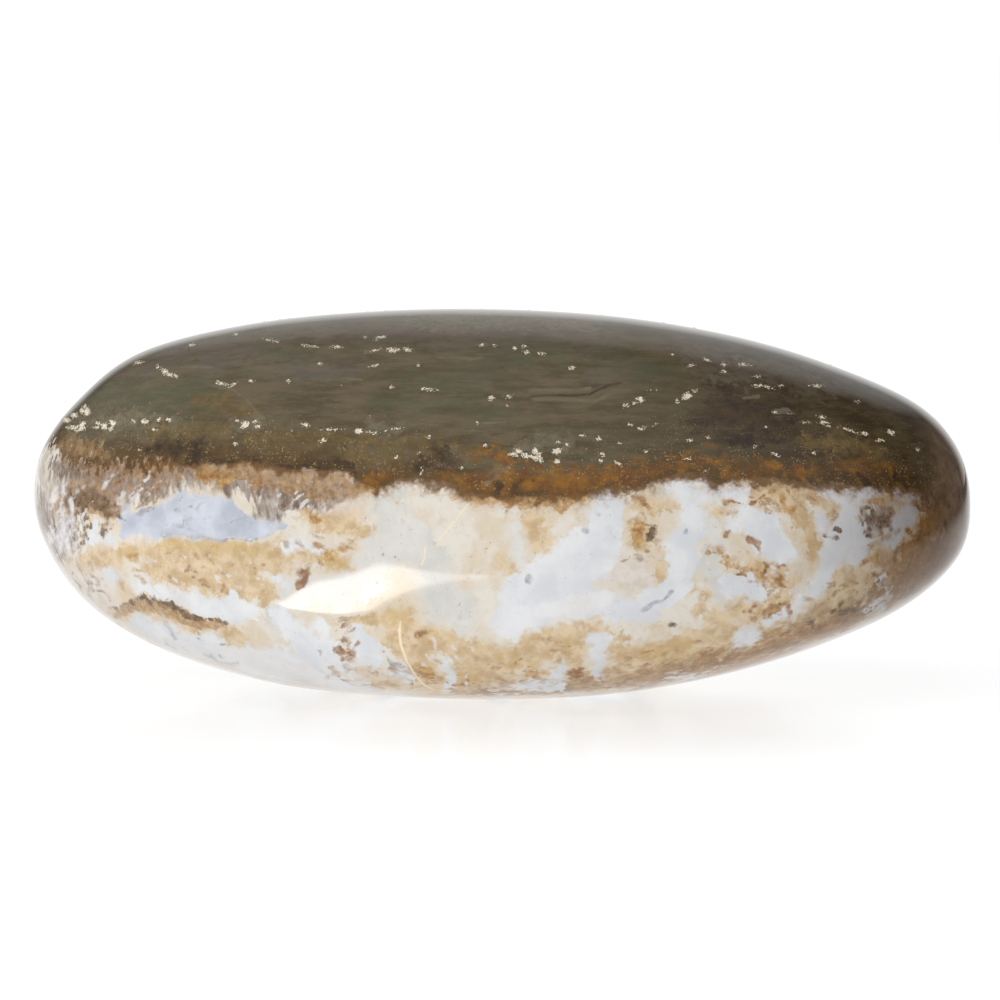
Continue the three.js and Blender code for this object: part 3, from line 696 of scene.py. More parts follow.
PATCH_OCTAVES = 3


def as_seen(places):
    """(across, up) of each place in the upright plane through the stone's middle, along the eye's rays."""
    from_aim = places - VIEW_AIM
    grows = VIEW_DISTANCE / (VIEW_DISTANCE - from_aim @ TOWARDS_EYE)
    return np.stack([places[:, 0] * grows, AIM_UP + from_aim @ UP_AS_SEEN * grows], axis=-1)


def smoothstep(low, high, values):
    """A smooth step from 0 at low to 1 at high."""
    share = np.clip((values - low) / (high - low), 0, 1)
    return share * share * (3 - 2 * share)


def turned(along, upright, degrees):
    """An offset along and square to a direction this many degrees from level, as (across, up)."""
    turn = math.radians(degrees)
    right = along * math.cos(turn) - upright * math.sin(turn)
    higher = along * math.sin(turn) + upright * math.cos(turn)
    return right, higher


def drifted(seen):
    """The points as seen, each moved a little by waves, so that no mark's edge is smooth."""
    chance = np.random.default_rng(WAVE_SEED)
    moved = seen.copy()
    for size, reach in WAVES:
        headings = chance.uniform(0, 2 * math.pi, WAVES_SUMMED)
        lengths = size * chance.uniform(*WAVE_SPREAD, WAVES_SUMMED)
        phases = seen @ np.stack([np.cos(headings), np.sin(headings)]) * 2 * math.pi / lengths
        starts = chance.uniform(0, 2 * math.pi, (2, WAVES_SUMMED))
        moved += reach * np.stack([np.sin(phases + start).mean(axis=1) for start in starts], axis=-1)
    return moved


def depth_inside(points, marks):
    """How deep each point lies inside the nearest mark, in mm, and negative outside."""
    deepest = np.full(len(points), -FAR_OUTSIDE)
    for mark in marks:
        beads = np.array(mark)
        for start, end in zip(beads, beads[1:]):
            reach = FAR_OUTSIDE + max(start[2], end[2]) + np.abs(end - start)[:2] / 2
            close = np.flatnonzero((np.abs(points - (start + end)[:2] / 2) < reach).all(axis=1))
            step = (end - start)[:2]
            offset = points[close] - start[:2]
            along = np.clip(offset @ step / (step @ step), 0, 1)
            away = np.linalg.norm(offset - along[:, None] * step, axis=1)
            radius = start[2] + along * (end[2] - start[2])
            deepest[close] = np.maximum(deepest[close], radius - away)
    return deepest


def depth_in_pits(points):
    """The same for the sparkling pits."""
    deepest = np.full(len(points), -FAR_OUTSIDE)
    for across, up, half_length, half_height, tilt in PITS:
        turn = math.radians(tilt)
        offset = points - (across, up)
        along = offset @ (math.cos(turn), math.sin(turn))
        upright = offset @ (-math.sin(turn), math.cos(turn))
        stretched = np.hypot(along / half_length, upright / half_height)
        deepest = np.maximum(deepest, (1 - stretched) * min(half_length, half_height))
    return deepest


def inside_ellipse(chance, half_length, half_height, tilt):
    """A random offset inside a tilted ellipse."""
    around = chance.uniform(0, 2 * math.pi)
    out = math.sqrt(chance.uniform())
    return turned(half_length * out * math.cos(around), half_height * out * math.sin(around), tilt)


def strewn(chance):
    """The strewn strokes as marks, by layer."""
    found = {name: [] for name in PALE_LAYERS}
    for layer, across, up, half_length, half_height, count, length, radius, lean in STREWN:
        for _ in range(count):
            right, higher = inside_ellipse(chance, half_length, half_height, 0)
            middle = np.array([across + right, up + higher])
            turn = math.radians(lean + chance.normal(0, STREWN_FAN))
            half = np.array([math.cos(turn), math.sin(turn)]) * length * chance.uniform(*STROKE_HALVES)
            thick = radius * chance.uniform(*STROKE_WIDTHS)
            thin = thick * STROKE_TIP
            found[layer].append([(*(middle - half), thin), (*middle, thick), (*(middle + half), thin)])
    return found


def height_over_edge(points):
    """How far each point as seen lies over the dark layer's lower edge."""
    edge = np.array(LAYER_EDGE)
    return points[:, 1] - np.interp(points[:, 0], edge[:, 0], edge[:, 1])


def depth_in_patches(places, layer, seed, stretch):
    """How deep each place lies inside patches of noise, for the sides that no mark reaches."""
    if not layer.share:
        return np.full(len(places), -FAR_OUTSIDE)
    shift = Vector([seed * part for part in PATCH_SHIFT])
    spans = places / (np.array(stretch) * layer.patch)
    found = np.array([noise.fractal(Vector(span) + shift, 1.0, 2.0, PATCH_OCTAVES) for span in spans])
    return (found * 0.5 + layer.share - 0.5) * layer.patch


ALL_MARKS = PALE_MARKS | DARK_MARKS
for name, strokes in strewn(np.random.default_rng(STROKE_SEED)).items():
    ALL_MARKS[name] = ALL_MARKS.get(name, []) + strokes


# ---- The stone ----
TINY_EDGE = 0.15  # the longest edge of the mesh as seen, in mm, by pits, cracks and thin marks
FINE_EDGE = 0.28  # where the marks are small
PLAIN_EDGE = 0.64  # and where they are broad
NEAR_EDGE = 0.8  # the longest real edge on the face that is seen
BACK_EDGE = 1.2  # and elsewhere
FINE_BELOW = 0.8  # the small marks reach this far over the dark layer's lower edge
FINE_MARGIN = 0.1  # and the finest mesh reaches this far round a pit, a crack or a thin mark
THIN = 0.2  # the radius of the thickest mark that counts as thin
REFINING_ROUNDS = 7
EDGE_DRIFT = 0.5  # the share of the waves in the marks' edges that the dark layer's edge shows
TURNED_TO_EYE = (0.03, 0.3)  # the marks fade in across these, as the face turns to the eye
PIT_DEPTH = 0.05
PIT_WALL = 0.07  # a pit is at its full depth this far inside its rim


def thin_marks(layers):
    """The marks in these layers that are thin from end to end."""
    marks = [mark for name in sorted(layers) for mark in ALL_MARKS[name]]
    return [mark for mark in marks if max(radius for _, _, radius in mark) <= THIN]


def edge_limit(points):
    """The longest edge that the marks round each point as seen can bear."""
    limit = np.where(height_over_edge(points) < FINE_BELOW, FINE_EDGE, PLAIN_EDGE)
    in_mark = depth_inside(drifted(points), thin_marks(set(ALL_MARKS) - set(STEADY))) > -FINE_MARGIN
    steady = depth_inside(points, thin_marks(STEADY)) > -FINE_MARGIN
    tiny = in_mark | steady | (depth_in_pits(points) > -FINE_MARGIN)
    limit[tiny] = TINY_EDGE
    return limit


def too_long(places, triangles, edges, limit):
    """Which edges are longer than the pattern or the outline can bear."""
    start, end = edges.T
    real = np.linalg.norm(places[start] - places[end], axis=1)
    points = as_seen(places)
    seen = np.linalg.norm(points[start] - points[end], axis=1)
    facing = normals_of(places, triangles) @ TOWARDS_EYE > 0
    near = facing[start] & facing[end]
    return (real > BACK_EDGE) | near & ((seen > np.minimum(limit[start], limit[end])) | (real > NEAR_EDGE))


def refined(places, triangles):
    """The stone's faceted form made round, with a fine mesh on the face that is seen."""
    edges, sides = edges_of(triangles)
    places, triangles = split_edges(places, triangles, edges, sides, np.ones(len(edges), bool))
    places = relaxed(places, edges_of(triangles)[0])
    limit = np.empty(0)
    for _ in range(REFINING_ROUNDS):
        edges, sides = edges_of(triangles)
        limit = np.append(limit, edge_limit(as_seen(places[len(limit):])))
        split = too_long(places, triangles, edges, limit)
        places, triangles = split_edges(places, triangles, edges, sides, split)
    return places, triangles


def pitted(places, triangles):
    """The places with the pits sunk into them, and nothing under the flat that the stone rests on."""
    normals = normals_of(places, triangles)
    dent = smoothstep(0, PIT_WALL, depth_in_pits(as_seen(places))) * (normals @ TOWARDS_EYE > 0)
    places = places - normals * (dent * PIT_DEPTH)[:, None]
    places[:, 2] = np.maximum(places[:, 2], 0)
    return places


def add_pattern(piece, places, normals):
    """Stores each layer's depth, the pits' depth and the dark layer's height. Returns the height."""
    facing = normals @ TOWARDS_EYE
    front = smoothstep(*TURNED_TO_EYE, facing)
    near, unseen = facing > 0, front < 1
    seen = as_seen(places)
    moved = drifted(seen)
    for seed, (name, layer) in enumerate((PALE_LAYERS | DARK_LAYERS).items()):
        depth = np.full(len(places), -FAR_OUTSIDE)
        points = seen if name in STEADY else moved
        depth[near] = depth_inside(points[near], ALL_MARKS.get(name, []))
        patches = depth_in_patches(places[unseen], layer, seed, STREAK if name in DARK_LAYERS else ROUND)
        depth[unseen] = patches + (depth[unseen] - patches) * front[unseen]
        store(piece, name, depth)
    height = places[:, 2] - UNSEEN_EDGE + UNSEEN_DIP * places[:, 1]
    height += (height_over_edge(seen + (moved - seen) * EDGE_DRIFT) - height) * front
    store(piece, "height", height)
    store(piece, "along", places[:, 0])
    store(piece, "fibrous", smoothstep(*FIBROUS_END, seen[:, 0]) * front)
    pit = np.full(len(places), -FAR_OUTSIDE)
    pit[near] = depth_in_pits(seen[near])
    store(piece, "pit", pit)
    return height


cad_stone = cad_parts["jasper_stone"]
places, triangles = refined(*arrays_of(cad_stone.data))
places = pitted(places, triangles)
normals = normals_of(places, triangles)
stone = mesh_from("polished_jasper", places, triangles, True)
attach(stone, "root")
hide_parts("jasper_stone")
height = add_pattern(stone, places, normals)


# ---- Sparkling grains in the pits ----
GRAIN_SEED = 7
GRAIN_CORNERS = np.array([(1, 0, 0), (0, 1, 0), (-1, 0, 0), (0, -1, 0), (0, 0, 1), (0, 0, -1)], float)
GRAIN_RING = [(corner, (corner + 1) % 4) for corner in range(4)]
GRAIN_FACES = np.array([(a, b, 4) for a, b in GRAIN_RING] + [(b, a, 5) for a, b in GRAIN_RING])
GRAIN_SIZES = (0.03, 0.085)
GRAIN_SQUASH = (0.6, 1.0)  # each corner's distance from the grain's middle, as a share of its size
GRAINS_PER_AREA = 110  # in each square millimetre of pit
GRAIN_SINK = 0.35  # how far a grain's middle lies under the polish, as a share of its size
UNSEEN_PITS = 150
UNSEEN_PIT_LENGTHS = (0.08, 0.35)  # half of a pit's length
UNSEEN_PIT_HEIGHTS = (0.05, 0.15)
UNSEEN_PIT_TILT = 20  # in degrees either way
UNSEEN_PIT_LEVEL = 0.5  # they lie at least this far over the dark layer's lower edge
UNSEEN_FACING = 0.05  # and where the face is turned less than this to the eye

surface = BVHTree.FromPolygons([Vector(place) for place in places], triangles.tolist())


def ray_to(across, up):
    """The eye's ray to a point as seen, and the place, normal and triangle that it meets."""
    aim = np.array([across, 0, 0]) + VIEW_AIM * (0, 1, 1) + UP_AS_SEEN * (up - AIM_UP)
    eye = VIEW_AIM + TOWARDS_EYE * VIEW_DISTANCE
    ray = Vector(aim - eye)
    hit, normal, triangle, _ = surface.ray_cast(Vector(eye), ray)
    return ray, hit, normal, triangle


def on_the_face(across, up):
    """The place and normal on the stone at a point as seen."""
    _, hit, normal, _ = ray_to(across, up)
    return hit, normal


def grains_in(half_length, half_height):
    """How many grains a pit of this size holds."""
    return max(2, round(math.pi * half_length * half_height * GRAINS_PER_AREA))


def seen_grains(chance):
    """The places and normals of the grains in the pits that are seen."""
    found = []
    for across, up, half_length, half_height, tilt in PITS:
        for _ in range(grains_in(half_length, half_height)):
            right, higher = inside_ellipse(chance, half_length, half_height, tilt)
            found.append(on_the_face(across + right, up + higher))
    return [grain for grain in found if grain[0]]


def unseen_grains(chance):
    """The same in pits strewn over the dark layer where the marks don't reach."""
    open_places = np.flatnonzero((height > UNSEEN_PIT_LEVEL) & (normals @ TOWARDS_EYE < UNSEEN_FACING))
    found = []
    for middle in chance.choice(open_places, UNSEEN_PITS):
        sideways = Vector((0, 0, 1)).cross(Vector(normals[middle])).normalized()
        upwards = Vector(normals[middle]).cross(sideways)
        half_length = chance.uniform(*UNSEEN_PIT_LENGTHS)
        half_height = chance.uniform(*UNSEEN_PIT_HEIGHTS)
        for _ in range(grains_in(half_length, half_height)):
            tilt = chance.uniform(-UNSEEN_PIT_TILT, UNSEEN_PIT_TILT)
            right, higher = inside_ellipse(chance, half_length, half_height, tilt)
            spot = Vector(places[middle]) + sideways * right + upwards * higher
            found.append(surface.find_nearest(spot)[:2])
    return found


def grain_mesh(chance, grains):
    """Eight-faced grains, each turned at random and sunk into the stone."""
    corners, faces, tints = [], [], []
    for number, (hit, normal) in enumerate(grains):
        size = chance.uniform(*GRAIN_SIZES)
        turn = np.array(Euler(chance.uniform(0, 2 * math.pi, 3)).to_matrix())
        middle = np.array(hit) - np.array(normal) * size * GRAIN_SINK
        squash = chance.uniform(*GRAIN_SQUASH, (len(GRAIN_CORNERS), 1))
        corners.append(middle + (GRAIN_CORNERS * squash * size) @ turn)
        faces.append(GRAIN_FACES + number * len(GRAIN_CORNERS))
        tints.append(np.full(len(GRAIN_CORNERS), chance.uniform()))
    piece = mesh_from("drusy_grains", np.concatenate(corners), np.concatenate(faces), False)
    store(piece, "tint", np.concatenate(tints))
    return piece


chance = np.random.default_rng(GRAIN_SEED)
grains = grain_mesh(chance, seen_grains(chance) + unseen_grains(chance))
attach(grains, "root")


# ---- Materials ----
LIGHT_GAIN = 0.97  # the albedo that each unit of shown light takes
POLISH_GLOW = 0.027  # less this, as the polish mirrors that much light by itself
PAINT_LIMITS = (0.004, 0.9)
POLISH = 0.035  # the polish's roughness
PIT_ROUGHNESS = 0.5
GRAIN_ROUGHNESS = 0.3
JASPER_IOR = 1.54
NOISE_ROUGHNESS = 0.6
NOISE_SHIFT = (3.7, 1.9, 5.3)  # from one seed's noise to the next one's
NOISE_GAIN = 6.0
FIBRE_LEAN = 18.0  # in degrees from upright
WHITE = (1, 1, 1, 1)
BLACK = (0, 0, 0, 1)
MIX_SOCKETS = (0, 6, 7)  # a mix of colours: its factor and its two colours
MIX_RESULT = 2
FLECK_EDGE = 0.3  # how far over its threshold a noise is when a fleck is whole
GATHERING = (-0.5, 0.8)  # flecks gather as the other noise goes from the first to the second


def paint(shown):
    """The albedo of a colour as it shows, in 0 to 255, with the studio's light and the polish taken off."""
    coded = np.array(shown) / 255
    light = np.where(coded > 0.04045, ((coded + 0.055) / 1.055) ** 2.4, coded / 12.92)
    return (*np.clip(light * LIGHT_GAIN - POLISH_GLOW, *PAINT_LIMITS).tolist(), 1)


class Graph:
    """Short calls for the nodes of one node tree."""

    def __init__(self, tree):
        self.nodes = tree.nodes
        self.links = tree.links

    def put(self, value, socket):
        """Links the value to the socket, or sets it there when it is a plain one."""
        if isinstance(value, bpy.types.NodeSocket):
            self.links.new(value, socket)
        else:
            socket.default_value = value

    def node(self, kind, *inputs):
        """A new node with these values in its first inputs."""
        node = self.nodes.new("ShaderNode" + kind)
        for value, socket in zip(inputs, node.inputs):
            self.put(value, socket)
        return node

    def vector(self, operation, *inputs, result="Vector"):
        """A vector operation's result, which is a vector or, as a "Value", a number."""
        node = self.node("VectorMath", *inputs)
        node.operation = operation
        return node.outputs[result]

    def maths(self, operation, first, second=0.0):
        node = self.node("Math", first, second)
        node.operation = operation
        return node.outputs["Value"]

    def add(self, first, second):
        return self.maths("ADD", first, second)

    def times(self, first, second):
        return self.maths("MULTIPLY", first, second)

    def step(self, value, low, high):
        """A smooth step from 0 at low to 1 at high."""
        node = self.node("MapRange", value, low, high)
        node.interpolation_type = "SMOOTHSTEP"
        return node.outputs["Result"]

    def mixed(self, share, first, second):
        """The second colour over the first."""
        node = self.node("Mix")
        node.data_type = "RGBA"
        for value, number in zip((share, first, second), MIX_SOCKETS):
            self.put(value, node.inputs[number])
        return node.outputs[MIX_RESULT]

    def veiled(self, colour, where, share, veil):
        """The colour with this share of the veil over it, where the mask says."""
        return self.mixed(self.times(where, share), colour, veil)

    def blended(self, share, paints):
        """The second of two paints over the first."""
        return self.mixed(share, *(paint(shown) for shown in paints))

    def stored(self, name):
        """A number kept on the mesh by store()."""
        node = self.node("Attribute")
        node.attribute_name = name
        return node.outputs["Fac"]


class Paint(Graph):
    """A new material. Sizes in its noises are in mm."""

    def __init__(self, name):
        self.material = bpy.data.materials.new(name)
        self.material.use_nodes = True
        super().__init__(self.material.node_tree)
        self.shader = self.nodes["Principled BSDF"]
        self.place = self.vector("MULTIPLY", self.node("TexCoord").outputs["Object"], (1 / MM,) * 3)

    def set_shader(self, **values):
        """Puts values in the shader's inputs, each named with _ for a space."""
        for name, value in values.items():
            self.put(value, self.shader.inputs[name.replace("_", " ")])

    def noises(self, seed, size, detail, stretch=ROUND, turn=0.0):
        """Three noises around 0, mostly within 1 either way. stretch is each axis's length against size."""
        place = self.place
        if turn:
            rotated = self.node("VectorRotate", place)
            rotated.rotation_type = "Y_AXIS"
            rotated.inputs["Angle"].default_value = math.radians(turn)
            place = rotated.outputs["Vector"]
        place = self.vector("DIVIDE", place, [size * length for length in stretch])
        place = self.vector("ADD", place, [seed * part for part in NOISE_SHIFT])
        texture = self.node("TexNoise", place)
        texture.inputs["Scale"].default_value = 1.0
        texture.inputs["Detail"].default_value = detail
        texture.inputs["Roughness"].default_value = NOISE_ROUGHNESS
        parts = self.node("SeparateColor", texture.outputs["Color"])
        return [self.times(self.add(part, -0.5), NOISE_GAIN) for part in parts.outputs]


class Jasper(Paint):
    """The stone's material."""

    def __init__(self):
        super().__init__("jasper")
        self.edges = self.noises(1, 0.6, 3.0)
        self.fine = self.noises(8, 0.13, 1.0)
        self.hairs = self.noises(9, 0.7, 3.0, (4.0, 1.0, 0.16))
        self.weaves = {
            "grit": self.noises(2, 0.32, 3.0),
            "mottle": self.noises(7, 1.0, 5.0),
            "cloud": self.noises(3, 2.6, 3.0),
            "fibre": self.noises(4, 0.4, 3.0, (1.0, 1.0, 5.0), FIBRE_LEAN),
            "streak": self.noises(5, 2.6, 4.5, STREAK),
        }
        colour = self.joined(self.pale(), self.dark())
        self.set_shader(Base_Color=self.with_pits(colour), IOR=JASPER_IOR)

    def flecks(self, grain, threshold, gathered):
        """Small ragged flecks where a noise is over the threshold, most of them where gathered is high."""
        return self.times(self.step(grain, threshold, threshold + FLECK_EDGE), self.step(gathered, *GATHERING))

    def layered(self, ground, layers):
        """The ground with each of the layers over it, their edges sharp in some places and soft in others."""
        colour = ground
        blur = self.add(self.times(self.step(self.weaves["cloud"][2], -0.8, 0.8), 1.3), 0.35)
        for number, (name, layer) in enumerate(layers.items()):
            weave = self.weaves[layer.weave]
            edge = (weave if layer.weave == "fibre" else self.edges)[number % 3]
            sign = 1 if number % 2 else -1
            depth = self.add(self.stored(name), self.times(edge, sign * layer.ragged))
            soft = self.times(blur, layer.soft)
            mask = self.step(depth, self.times(soft, -1.0), soft)
            blotch = self.step(weave[(number + 1) % 3], -1.0, 1.0)
            colour = self.veiled(colour, mask, layer.cover, self.blended(blotch, (layer.dark, layer.light)))
        return colour

    def pale(self):
        """Cream and tan clouds, the pale layer's marks, and fine brown, cream and grey flecks over them."""
        grit, mottle, cloud = self.weaves["grit"], self.weaves["mottle"], self.weaves["cloud"]
        clouds = self.step(self.add(cloud[0], self.times(mottle[0], 0.4)), -0.9, 1.0)
        ground = self.blended(clouds, (CREAM, WARM_CREAM))
        ground = self.veiled(ground, self.step(mottle[2], 0.3, 1.3), 0.5, paint(BUFF))
        colour = self.layered(ground, PALE_LAYERS)
        bare = self.step(self.stored("white"), 0.5, -0.4)
        brown = self.times(self.flecks(grit[0], 0.85, cloud[1]), bare)
        colour = self.veiled(colour, brown, 0.55, paint(BROWN_FLECK))
        light = self.times(self.flecks(grit[1], 0.8, mottle[1]), bare)
        colour = self.veiled(colour, light, 0.5, paint(CREAM_FLECK))
        return self.veiled(colour, self.flecks(self.fine[0], 1.0, self.edges[1]), 0.35, paint(GREY_FLECK))

    def dark(self):
        """Level streaks in olive, moss and taupe, browner to the right, then the marks, hairs and grit."""
        streak, mottle = self.weaves["streak"], self.weaves["mottle"]
        height = self.stored("height")
        left = self.blended(self.step(streak[0], -0.9, 0.9), (DEEP_OLIVE, OLIVE))
        left = self.veiled(left, self.step(streak[1], 0.1, 1.2), 0.7, paint(MOSS))
        left = self.veiled(left, self.step(streak[2], 0.1, 1.2), 0.7, paint(TAUPE))
        right = self.blended(self.step(streak[1], -0.9, 0.9), RIGHT_OLIVES)
        ground = self.mixed(self.step(self.stored("along"), *BROWNER_DARK), left, right)
        ragged = self.add(height, self.times(mottle[1], 0.4))
        ground = self.veiled(ground, self.step(ragged, *LOW_BROWN_BAND), 0.75, paint(LOW_BROWN))
        colour = self.layered(ground, DARK_LAYERS)
        hair = self.times(self.step(self.hairs[0], 0.3, 1.3), self.step(streak[1], -0.6, 0.8))
        colour = self.veiled(colour, hair, 0.22, paint(PALE_HAIR))
        shade = self.times(self.step(self.hairs[1], 0.3, 1.3), self.step(streak[2], -0.6, 0.8))
        colour = self.veiled(colour, shade, 0.25, paint(DARK_HAIR))
        low = self.add(self.times(self.step(height, *GRIT_BAND), 0.5), 0.06)
        grit = self.times(self.flecks(self.fine[1], 0.75, mottle[0]), low)
        colour = self.mixed(grit, colour, paint(TAN_GRIT))
        sparks = self.times(self.flecks(self.fine[2], 1.15, mottle[1]), self.step(height, *SPARK_BAND))
        return self.veiled(colour, sparks, 0.6, paint(PALE_SPARK))

    def joined(self, pale, dark):
        """The dark layer over the pale one, with a brown fringe along its ragged edge. Both end in browns; at
        the pale one's right end the darker brown is partly painted shade.
        """
        mottle = self.weaves["mottle"]
        fibres = self.times(self.times(self.weaves["fibre"][1], self.stored("fibrous")), 0.9)
        height = self.add(self.stored("height"), self.add(self.times(self.edges[2], 0.12), fibres))
        ragged = self.add(height, self.times(mottle[2], 0.4))
        halo = self.times(self.step(ragged, *HALO_BAND), self.step(self.weaves["grit"][2], -1.1, 0.6))
        pale = self.veiled(pale, halo, 0.7, paint(HALO_BROWN))
        rim = self.times(self.step(ragged, *RIM_BAND), self.step(self.weaves["cloud"][0], -2.0, -0.4))
        pale = self.veiled(pale, rim, 0.9, paint(RIM_BROWN))
        along = self.stored("along")
        tone = self.step(mottle[0], -1.3, 1.3)
        # Painted shade and browner stone: the pale layer darkens towards the right end.
        pale_end_and_shade = self.blended(tone, PALE_END_BROWNS_AND_SHADE)
        pale = self.veiled(pale, self.step(along, *BROWNER_SHADED_PALE_END), 0.78, pale_end_and_shade)
        dark_end = self.blended(tone, DARK_END_BROWNS)
        dark = self.veiled(dark, self.step(along, *BROWNER_DARK_END), 0.6, dark_end)
        edge = self.add(self.times(self.step(along, *SOFTER_EDGE), 1.2), 0.16)
        return self.mixed(self.step(height, self.times(edge, -1.0), edge), pale, dark)

    def with_pits(self, colour):
        """Dull beige with a bright middle where the polish is pitted, and an even gloss elsewhere."""
        depth = self.add(self.stored("pit"), self.times(self.fine[2], 0.08))
        pit = self.step(depth, -0.03, 0.03)
        bright = self.step(self.add(depth, self.times(self.fine[0], 0.06)), 0.0, 0.06)
        polish = self.add(self.times(self.weaves["cloud"][1], 0.006), POLISH)
        gloss = self.node("Mix")
        self.put(pit, gloss.inputs[0])
        self.put(polish, gloss.inputs[2])
        self.put(PIT_ROUGHNESS, gloss.inputs[3])
        self.set_shader(Roughness=gloss.outputs[0])
        return self.veiled(colour, pit, 0.9, self.blended(bright, PIT_BEIGES))


def quartz():
    """The grains' material, from dull to bright by their tints."""
    graph = Paint("drusy_quartz")
    graph.set_shader(Base_Color=graph.blended(graph.stored("tint"), QUARTZES))
    graph.set_shader(Roughness=GRAIN_ROUGHNESS, IOR=JASPER_IOR)
    return graph.material


stone.data.materials.append(Jasper().material)
grains.data.materials.append(quartz())

# ---- Stage, in metres ----
FLOOR_SIZE = 8.0
FLOOR_GLOW = 0.93
GLOW_FADES = (130, 20)  # none of its light is lent this far to the right, in mm, and all of it this far
GLOW_SLANT = 0.28  # how much further to the right both lie for each millimetre towards the back
FLOOR_ALBEDO = 0.17
FLOOR_ROUGHNESS = 0.6
FLOOR_MIRROR = 0.3
MIRROR_ROUGHNESS = 0.2
MIRROR_FADES = (0.05, 0.015)  # the floor mirrors nothing this far from its middle, and fully this near to it
MIRROR_SHAPE = (0.6, 1.0, 1.0)  # each axis's weight in that distance
BACKDROP_LIGHT = 1.02
STONE_MIDDLE = Vector((0, 0, 0.012))
CLIPPING = (0.01, 20)

# The room's light: (azimuth, elevation, cosine where it starts, cosine where it is full, radiance).
# The brightest that a direction meets is what comes from there.
ROOM = [
    (-35, 25, -0.5, 0.4, 0.57),
    (180, -4, 0.788, 0.951, 0.95),
    (175, 33, 0.9, 0.99, 0.58),
]
ROOM_LEAST = 0.12

# The lamps: (name, azimuth, elevation, distance, width, height, radiance).
LAMPS = [
    ("overhead", -20, 75, 0.9, 0.9, 0.7, 1.0),
    ("key", -32, 12, 0.9, 0.7, 0.6, 2.0),
    ("fill", -75, 35, 0.9, 0.8, 0.8, 0.9),
]

# The bright patch that the window makes on the stone's lower left, as seen, from left to right:
# (across, its lower and upper edge, how bright it is).
PATCH = [
    (-14.6, 6.05, 6.15, 1.0), (-13.9, 5.85, 6.35, 1.0), (-13.2, 5.75, 6.85, 1.0), (-12.0, 5.6, 7.5, 1.0),
    (-11.0, 5.5, 7.65, 1.0), (-10.0, 5.5, 7.85, 1.0), (-8.6, 5.65, 8.45, 1.0), (-8.1, 5.9, 8.65, 1.0),
    (-7.4, 6.35, 8.65, 1.0), (-6.6, 6.75, 8.5, 1.0), (-5.5, 7.1, 8.3, 0.7), (-4.0, 7.45, 8.1, 0.48),
    (-2.0, 7.7, 7.95, 0.34), (0.0, 7.75, 7.9, 0.15), (1.0, 7.8, 7.9, 0.0),
]
WINDOW_DISTANCE = 0.4
WINDOW_GLOW = 8.3
WINDOW_COLOUR = (1.0, 0.95, 0.9, 1)


def direction(azimuth, elevation):
    """Towards a point seen from the stone. Azimuths are from the front, to the right."""
    a, e = math.radians(azimuth), math.radians(elevation)
    return Vector((math.sin(a) * math.cos(e), -math.cos(a) * math.cos(e), math.sin(e)))


def add_floor():
    """A white floor that glows like paper on a light table, and faintly mirrors the stone, close to it."""
    bpy.ops.mesh.primitive_plane_add(size=FLOOR_SIZE)
    floor = bpy.context.object
    floor.name = "floor"
    graph = Paint("pale_floor")
    graph.set_shader(Base_Color=(FLOOR_ALBEDO,) * 3 + (1,), Roughness=FLOOR_ROUGHNESS, Specular_IOR_Level=0.0)
    parts = graph.node("SeparateXYZ", graph.place)
    behind = graph.maths("MAXIMUM", parts.outputs["Y"])
    right = graph.add(parts.outputs["X"], graph.times(behind, -GLOW_SLANT))
    seen = graph.node("LightPath").outputs["Is Camera Ray"]
    lit = graph.maths("MAXIMUM", seen, graph.step(right, *GLOW_FADES))
    graph.set_shader(Emission_Color=WHITE, Emission_Strength=graph.times(lit, FLOOR_GLOW))
    offset = graph.vector("MULTIPLY", graph.place, [MM * part for part in MIRROR_SHAPE])
    near = graph.step(graph.vector("LENGTH", offset, result="Value"), *MIRROR_FADES)
    mirror = graph.node("BsdfGlossy")
    mirror.inputs["Color"].default_value = WHITE
    mirror.inputs["Roughness"].default_value = MIRROR_ROUGHNESS
    share = graph.times(near, FLOOR_MIRROR)
    both = graph.node("MixShader", share, graph.shader.outputs[0], mirror.outputs[0])
    graph.put(both.outputs[0], graph.nodes["Material Output"].inputs["Surface"])
    floor.data.materials.append(graph.material)


def add_room():
    """Soft light from the front and left, a bright backdrop, and pure white where the camera looks."""
    world = bpy.data.worlds.new("studio")
    bpy.context.scene.world = world
    world.use_nodes = True
    graph = Graph(world.node_tree)
    heading = graph.node("TexCoord").outputs["Generated"]
    light = ROOM_LEAST
    for azimuth, elevation, start, full, radiance in ROOM:
        towards = graph.vector("DOT_PRODUCT", heading, direction(azimuth, elevation), result="Value")
        glow = graph.times(graph.step(towards, start, full), radiance)
        light = graph.maths("MAXIMUM", glow, light)
    room = graph.nodes["Background"]
    graph.put(WHITE, room.inputs["Color"])
    graph.put(light, room.inputs["Strength"])
    backdrop = graph.node("Background", WHITE, BACKDROP_LIGHT)
    seen = graph.node("LightPath").outputs["Is Camera Ray"]
    choice = graph.node("MixShader", seen, room.outputs[0], backdrop.outputs[0])
    graph.put(choice.outputs[0], graph.nodes["World Output"].inputs["Surface"])


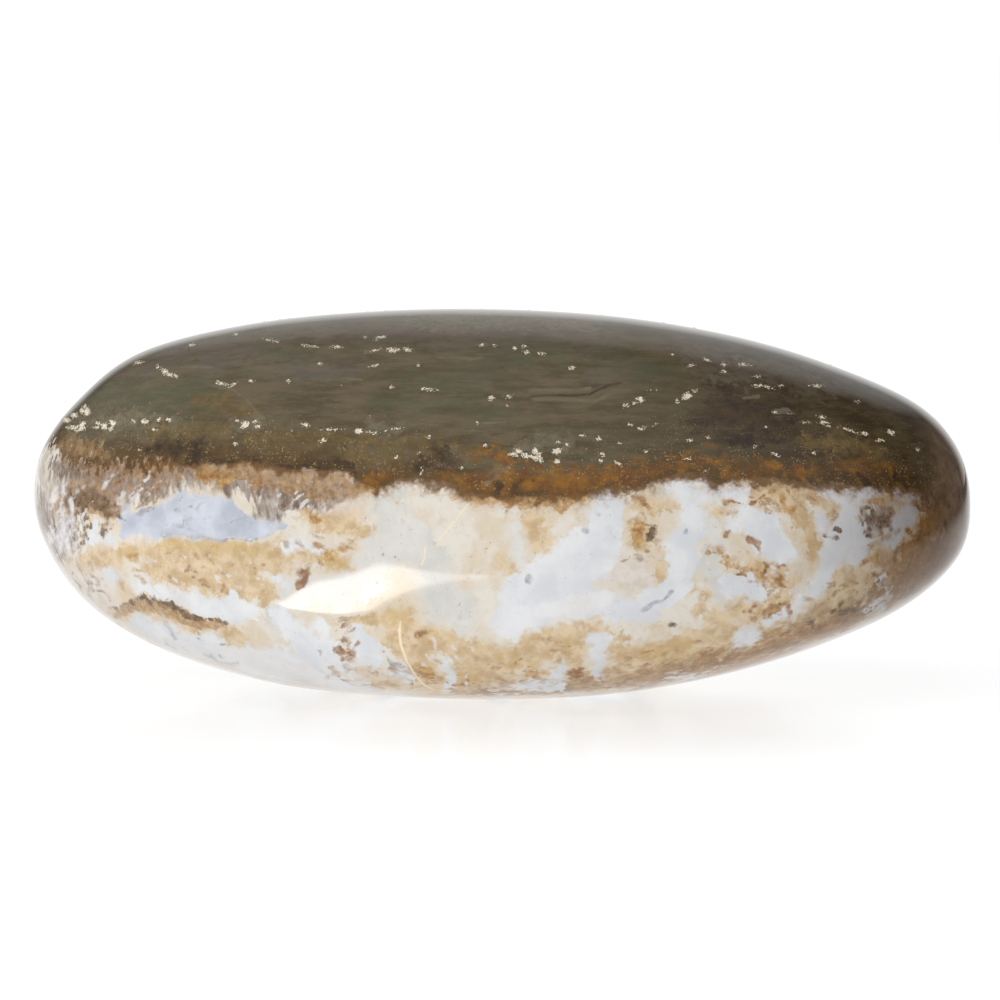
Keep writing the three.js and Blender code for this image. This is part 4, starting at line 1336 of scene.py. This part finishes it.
def add_lamp(name, azimuth, elevation, distance, width, height, radiance):
    """A rectangular lamp at a direction from the stone, facing it."""
    data = bpy.data.lights.new(name, "AREA")
    data.shape = "RECTANGLE"
    data.size = width
    data.size_y = height
    data.energy = radiance * math.pi * width * height
    lamp = placed(name, data)
    away = direction(azimuth, elevation)
    lamp.location = STONE_MIDDLE + away * distance
    lamp.rotation_mode = "QUATERNION"
    lamp.rotation_quaternion = away.to_track_quat("Z", "Y")
    lamp.visible_camera = False
    lamp.visible_glossy = False


def mirrored(across, up):
    """Where a point as seen mirrors what lies at the window's distance from the stone's middle."""
    ray, hit, _, triangle = ray_to(across, up)
    corners = triangles[triangle]
    weights = poly_3d_calc([Vector(place) for place in places[corners]], hit)
    away = ray.normalized().reflect(Vector(weights @ normals[corners]).normalized())
    start = hit * MM - STONE_MIDDLE
    halfway = start.dot(away)
    reach = math.sqrt(halfway ** 2 - start.length_squared + WINDOW_DISTANCE ** 2) - halfway
    return STONE_MIDDLE + start + away * reach


def add_window():
    """A strip that glows, and shows only where the stone mirrors it."""
    corners, shares = [], []
    for across, low, high, share in PATCH:
        corners += [tuple(mirrored(across, edge)) for edge in (low, high)]
        shares += [share, share]
    faces = [(end - 2, end, end + 1, end - 1) for end in range(2, len(corners), 2)]
    mesh = bpy.data.meshes.new("window")
    mesh.from_pydata(corners, [], faces)
    window = placed("window", mesh)
    store(window, "share", np.array(shares))
    graph = Paint("window_light")
    glow = graph.times(graph.stored("share"), WINDOW_GLOW)
    graph.set_shader(Base_Color=BLACK, Emission_Color=WINDOW_COLOUR, Emission_Strength=glow)
    mesh.materials.append(graph.material)
    window.visible_camera = False


def add_camera():
    """The camera that the marks are placed for."""
    data = bpy.data.cameras.new("camera")
    camera = placed("camera", data)
    bpy.context.scene.camera = camera
    data.lens = data.sensor_width * VIEW_DISTANCE / FRAME_WIDTH
    data.clip_start, data.clip_end = CLIPPING
    back = Vector(TOWARDS_EYE)
    camera.location = Vector(VIEW_AIM) * MM + back * VIEW_DISTANCE * MM
    camera.rotation_mode = "QUATERNION"
    camera.rotation_quaternion = back.to_track_quat("Z", "Y")


add_floor()
add_room()
add_window()
for lamp in LAMPS:
    add_lamp(*lamp)
add_camera()
bpy.context.scene.view_settings.view_transform = "Standard"
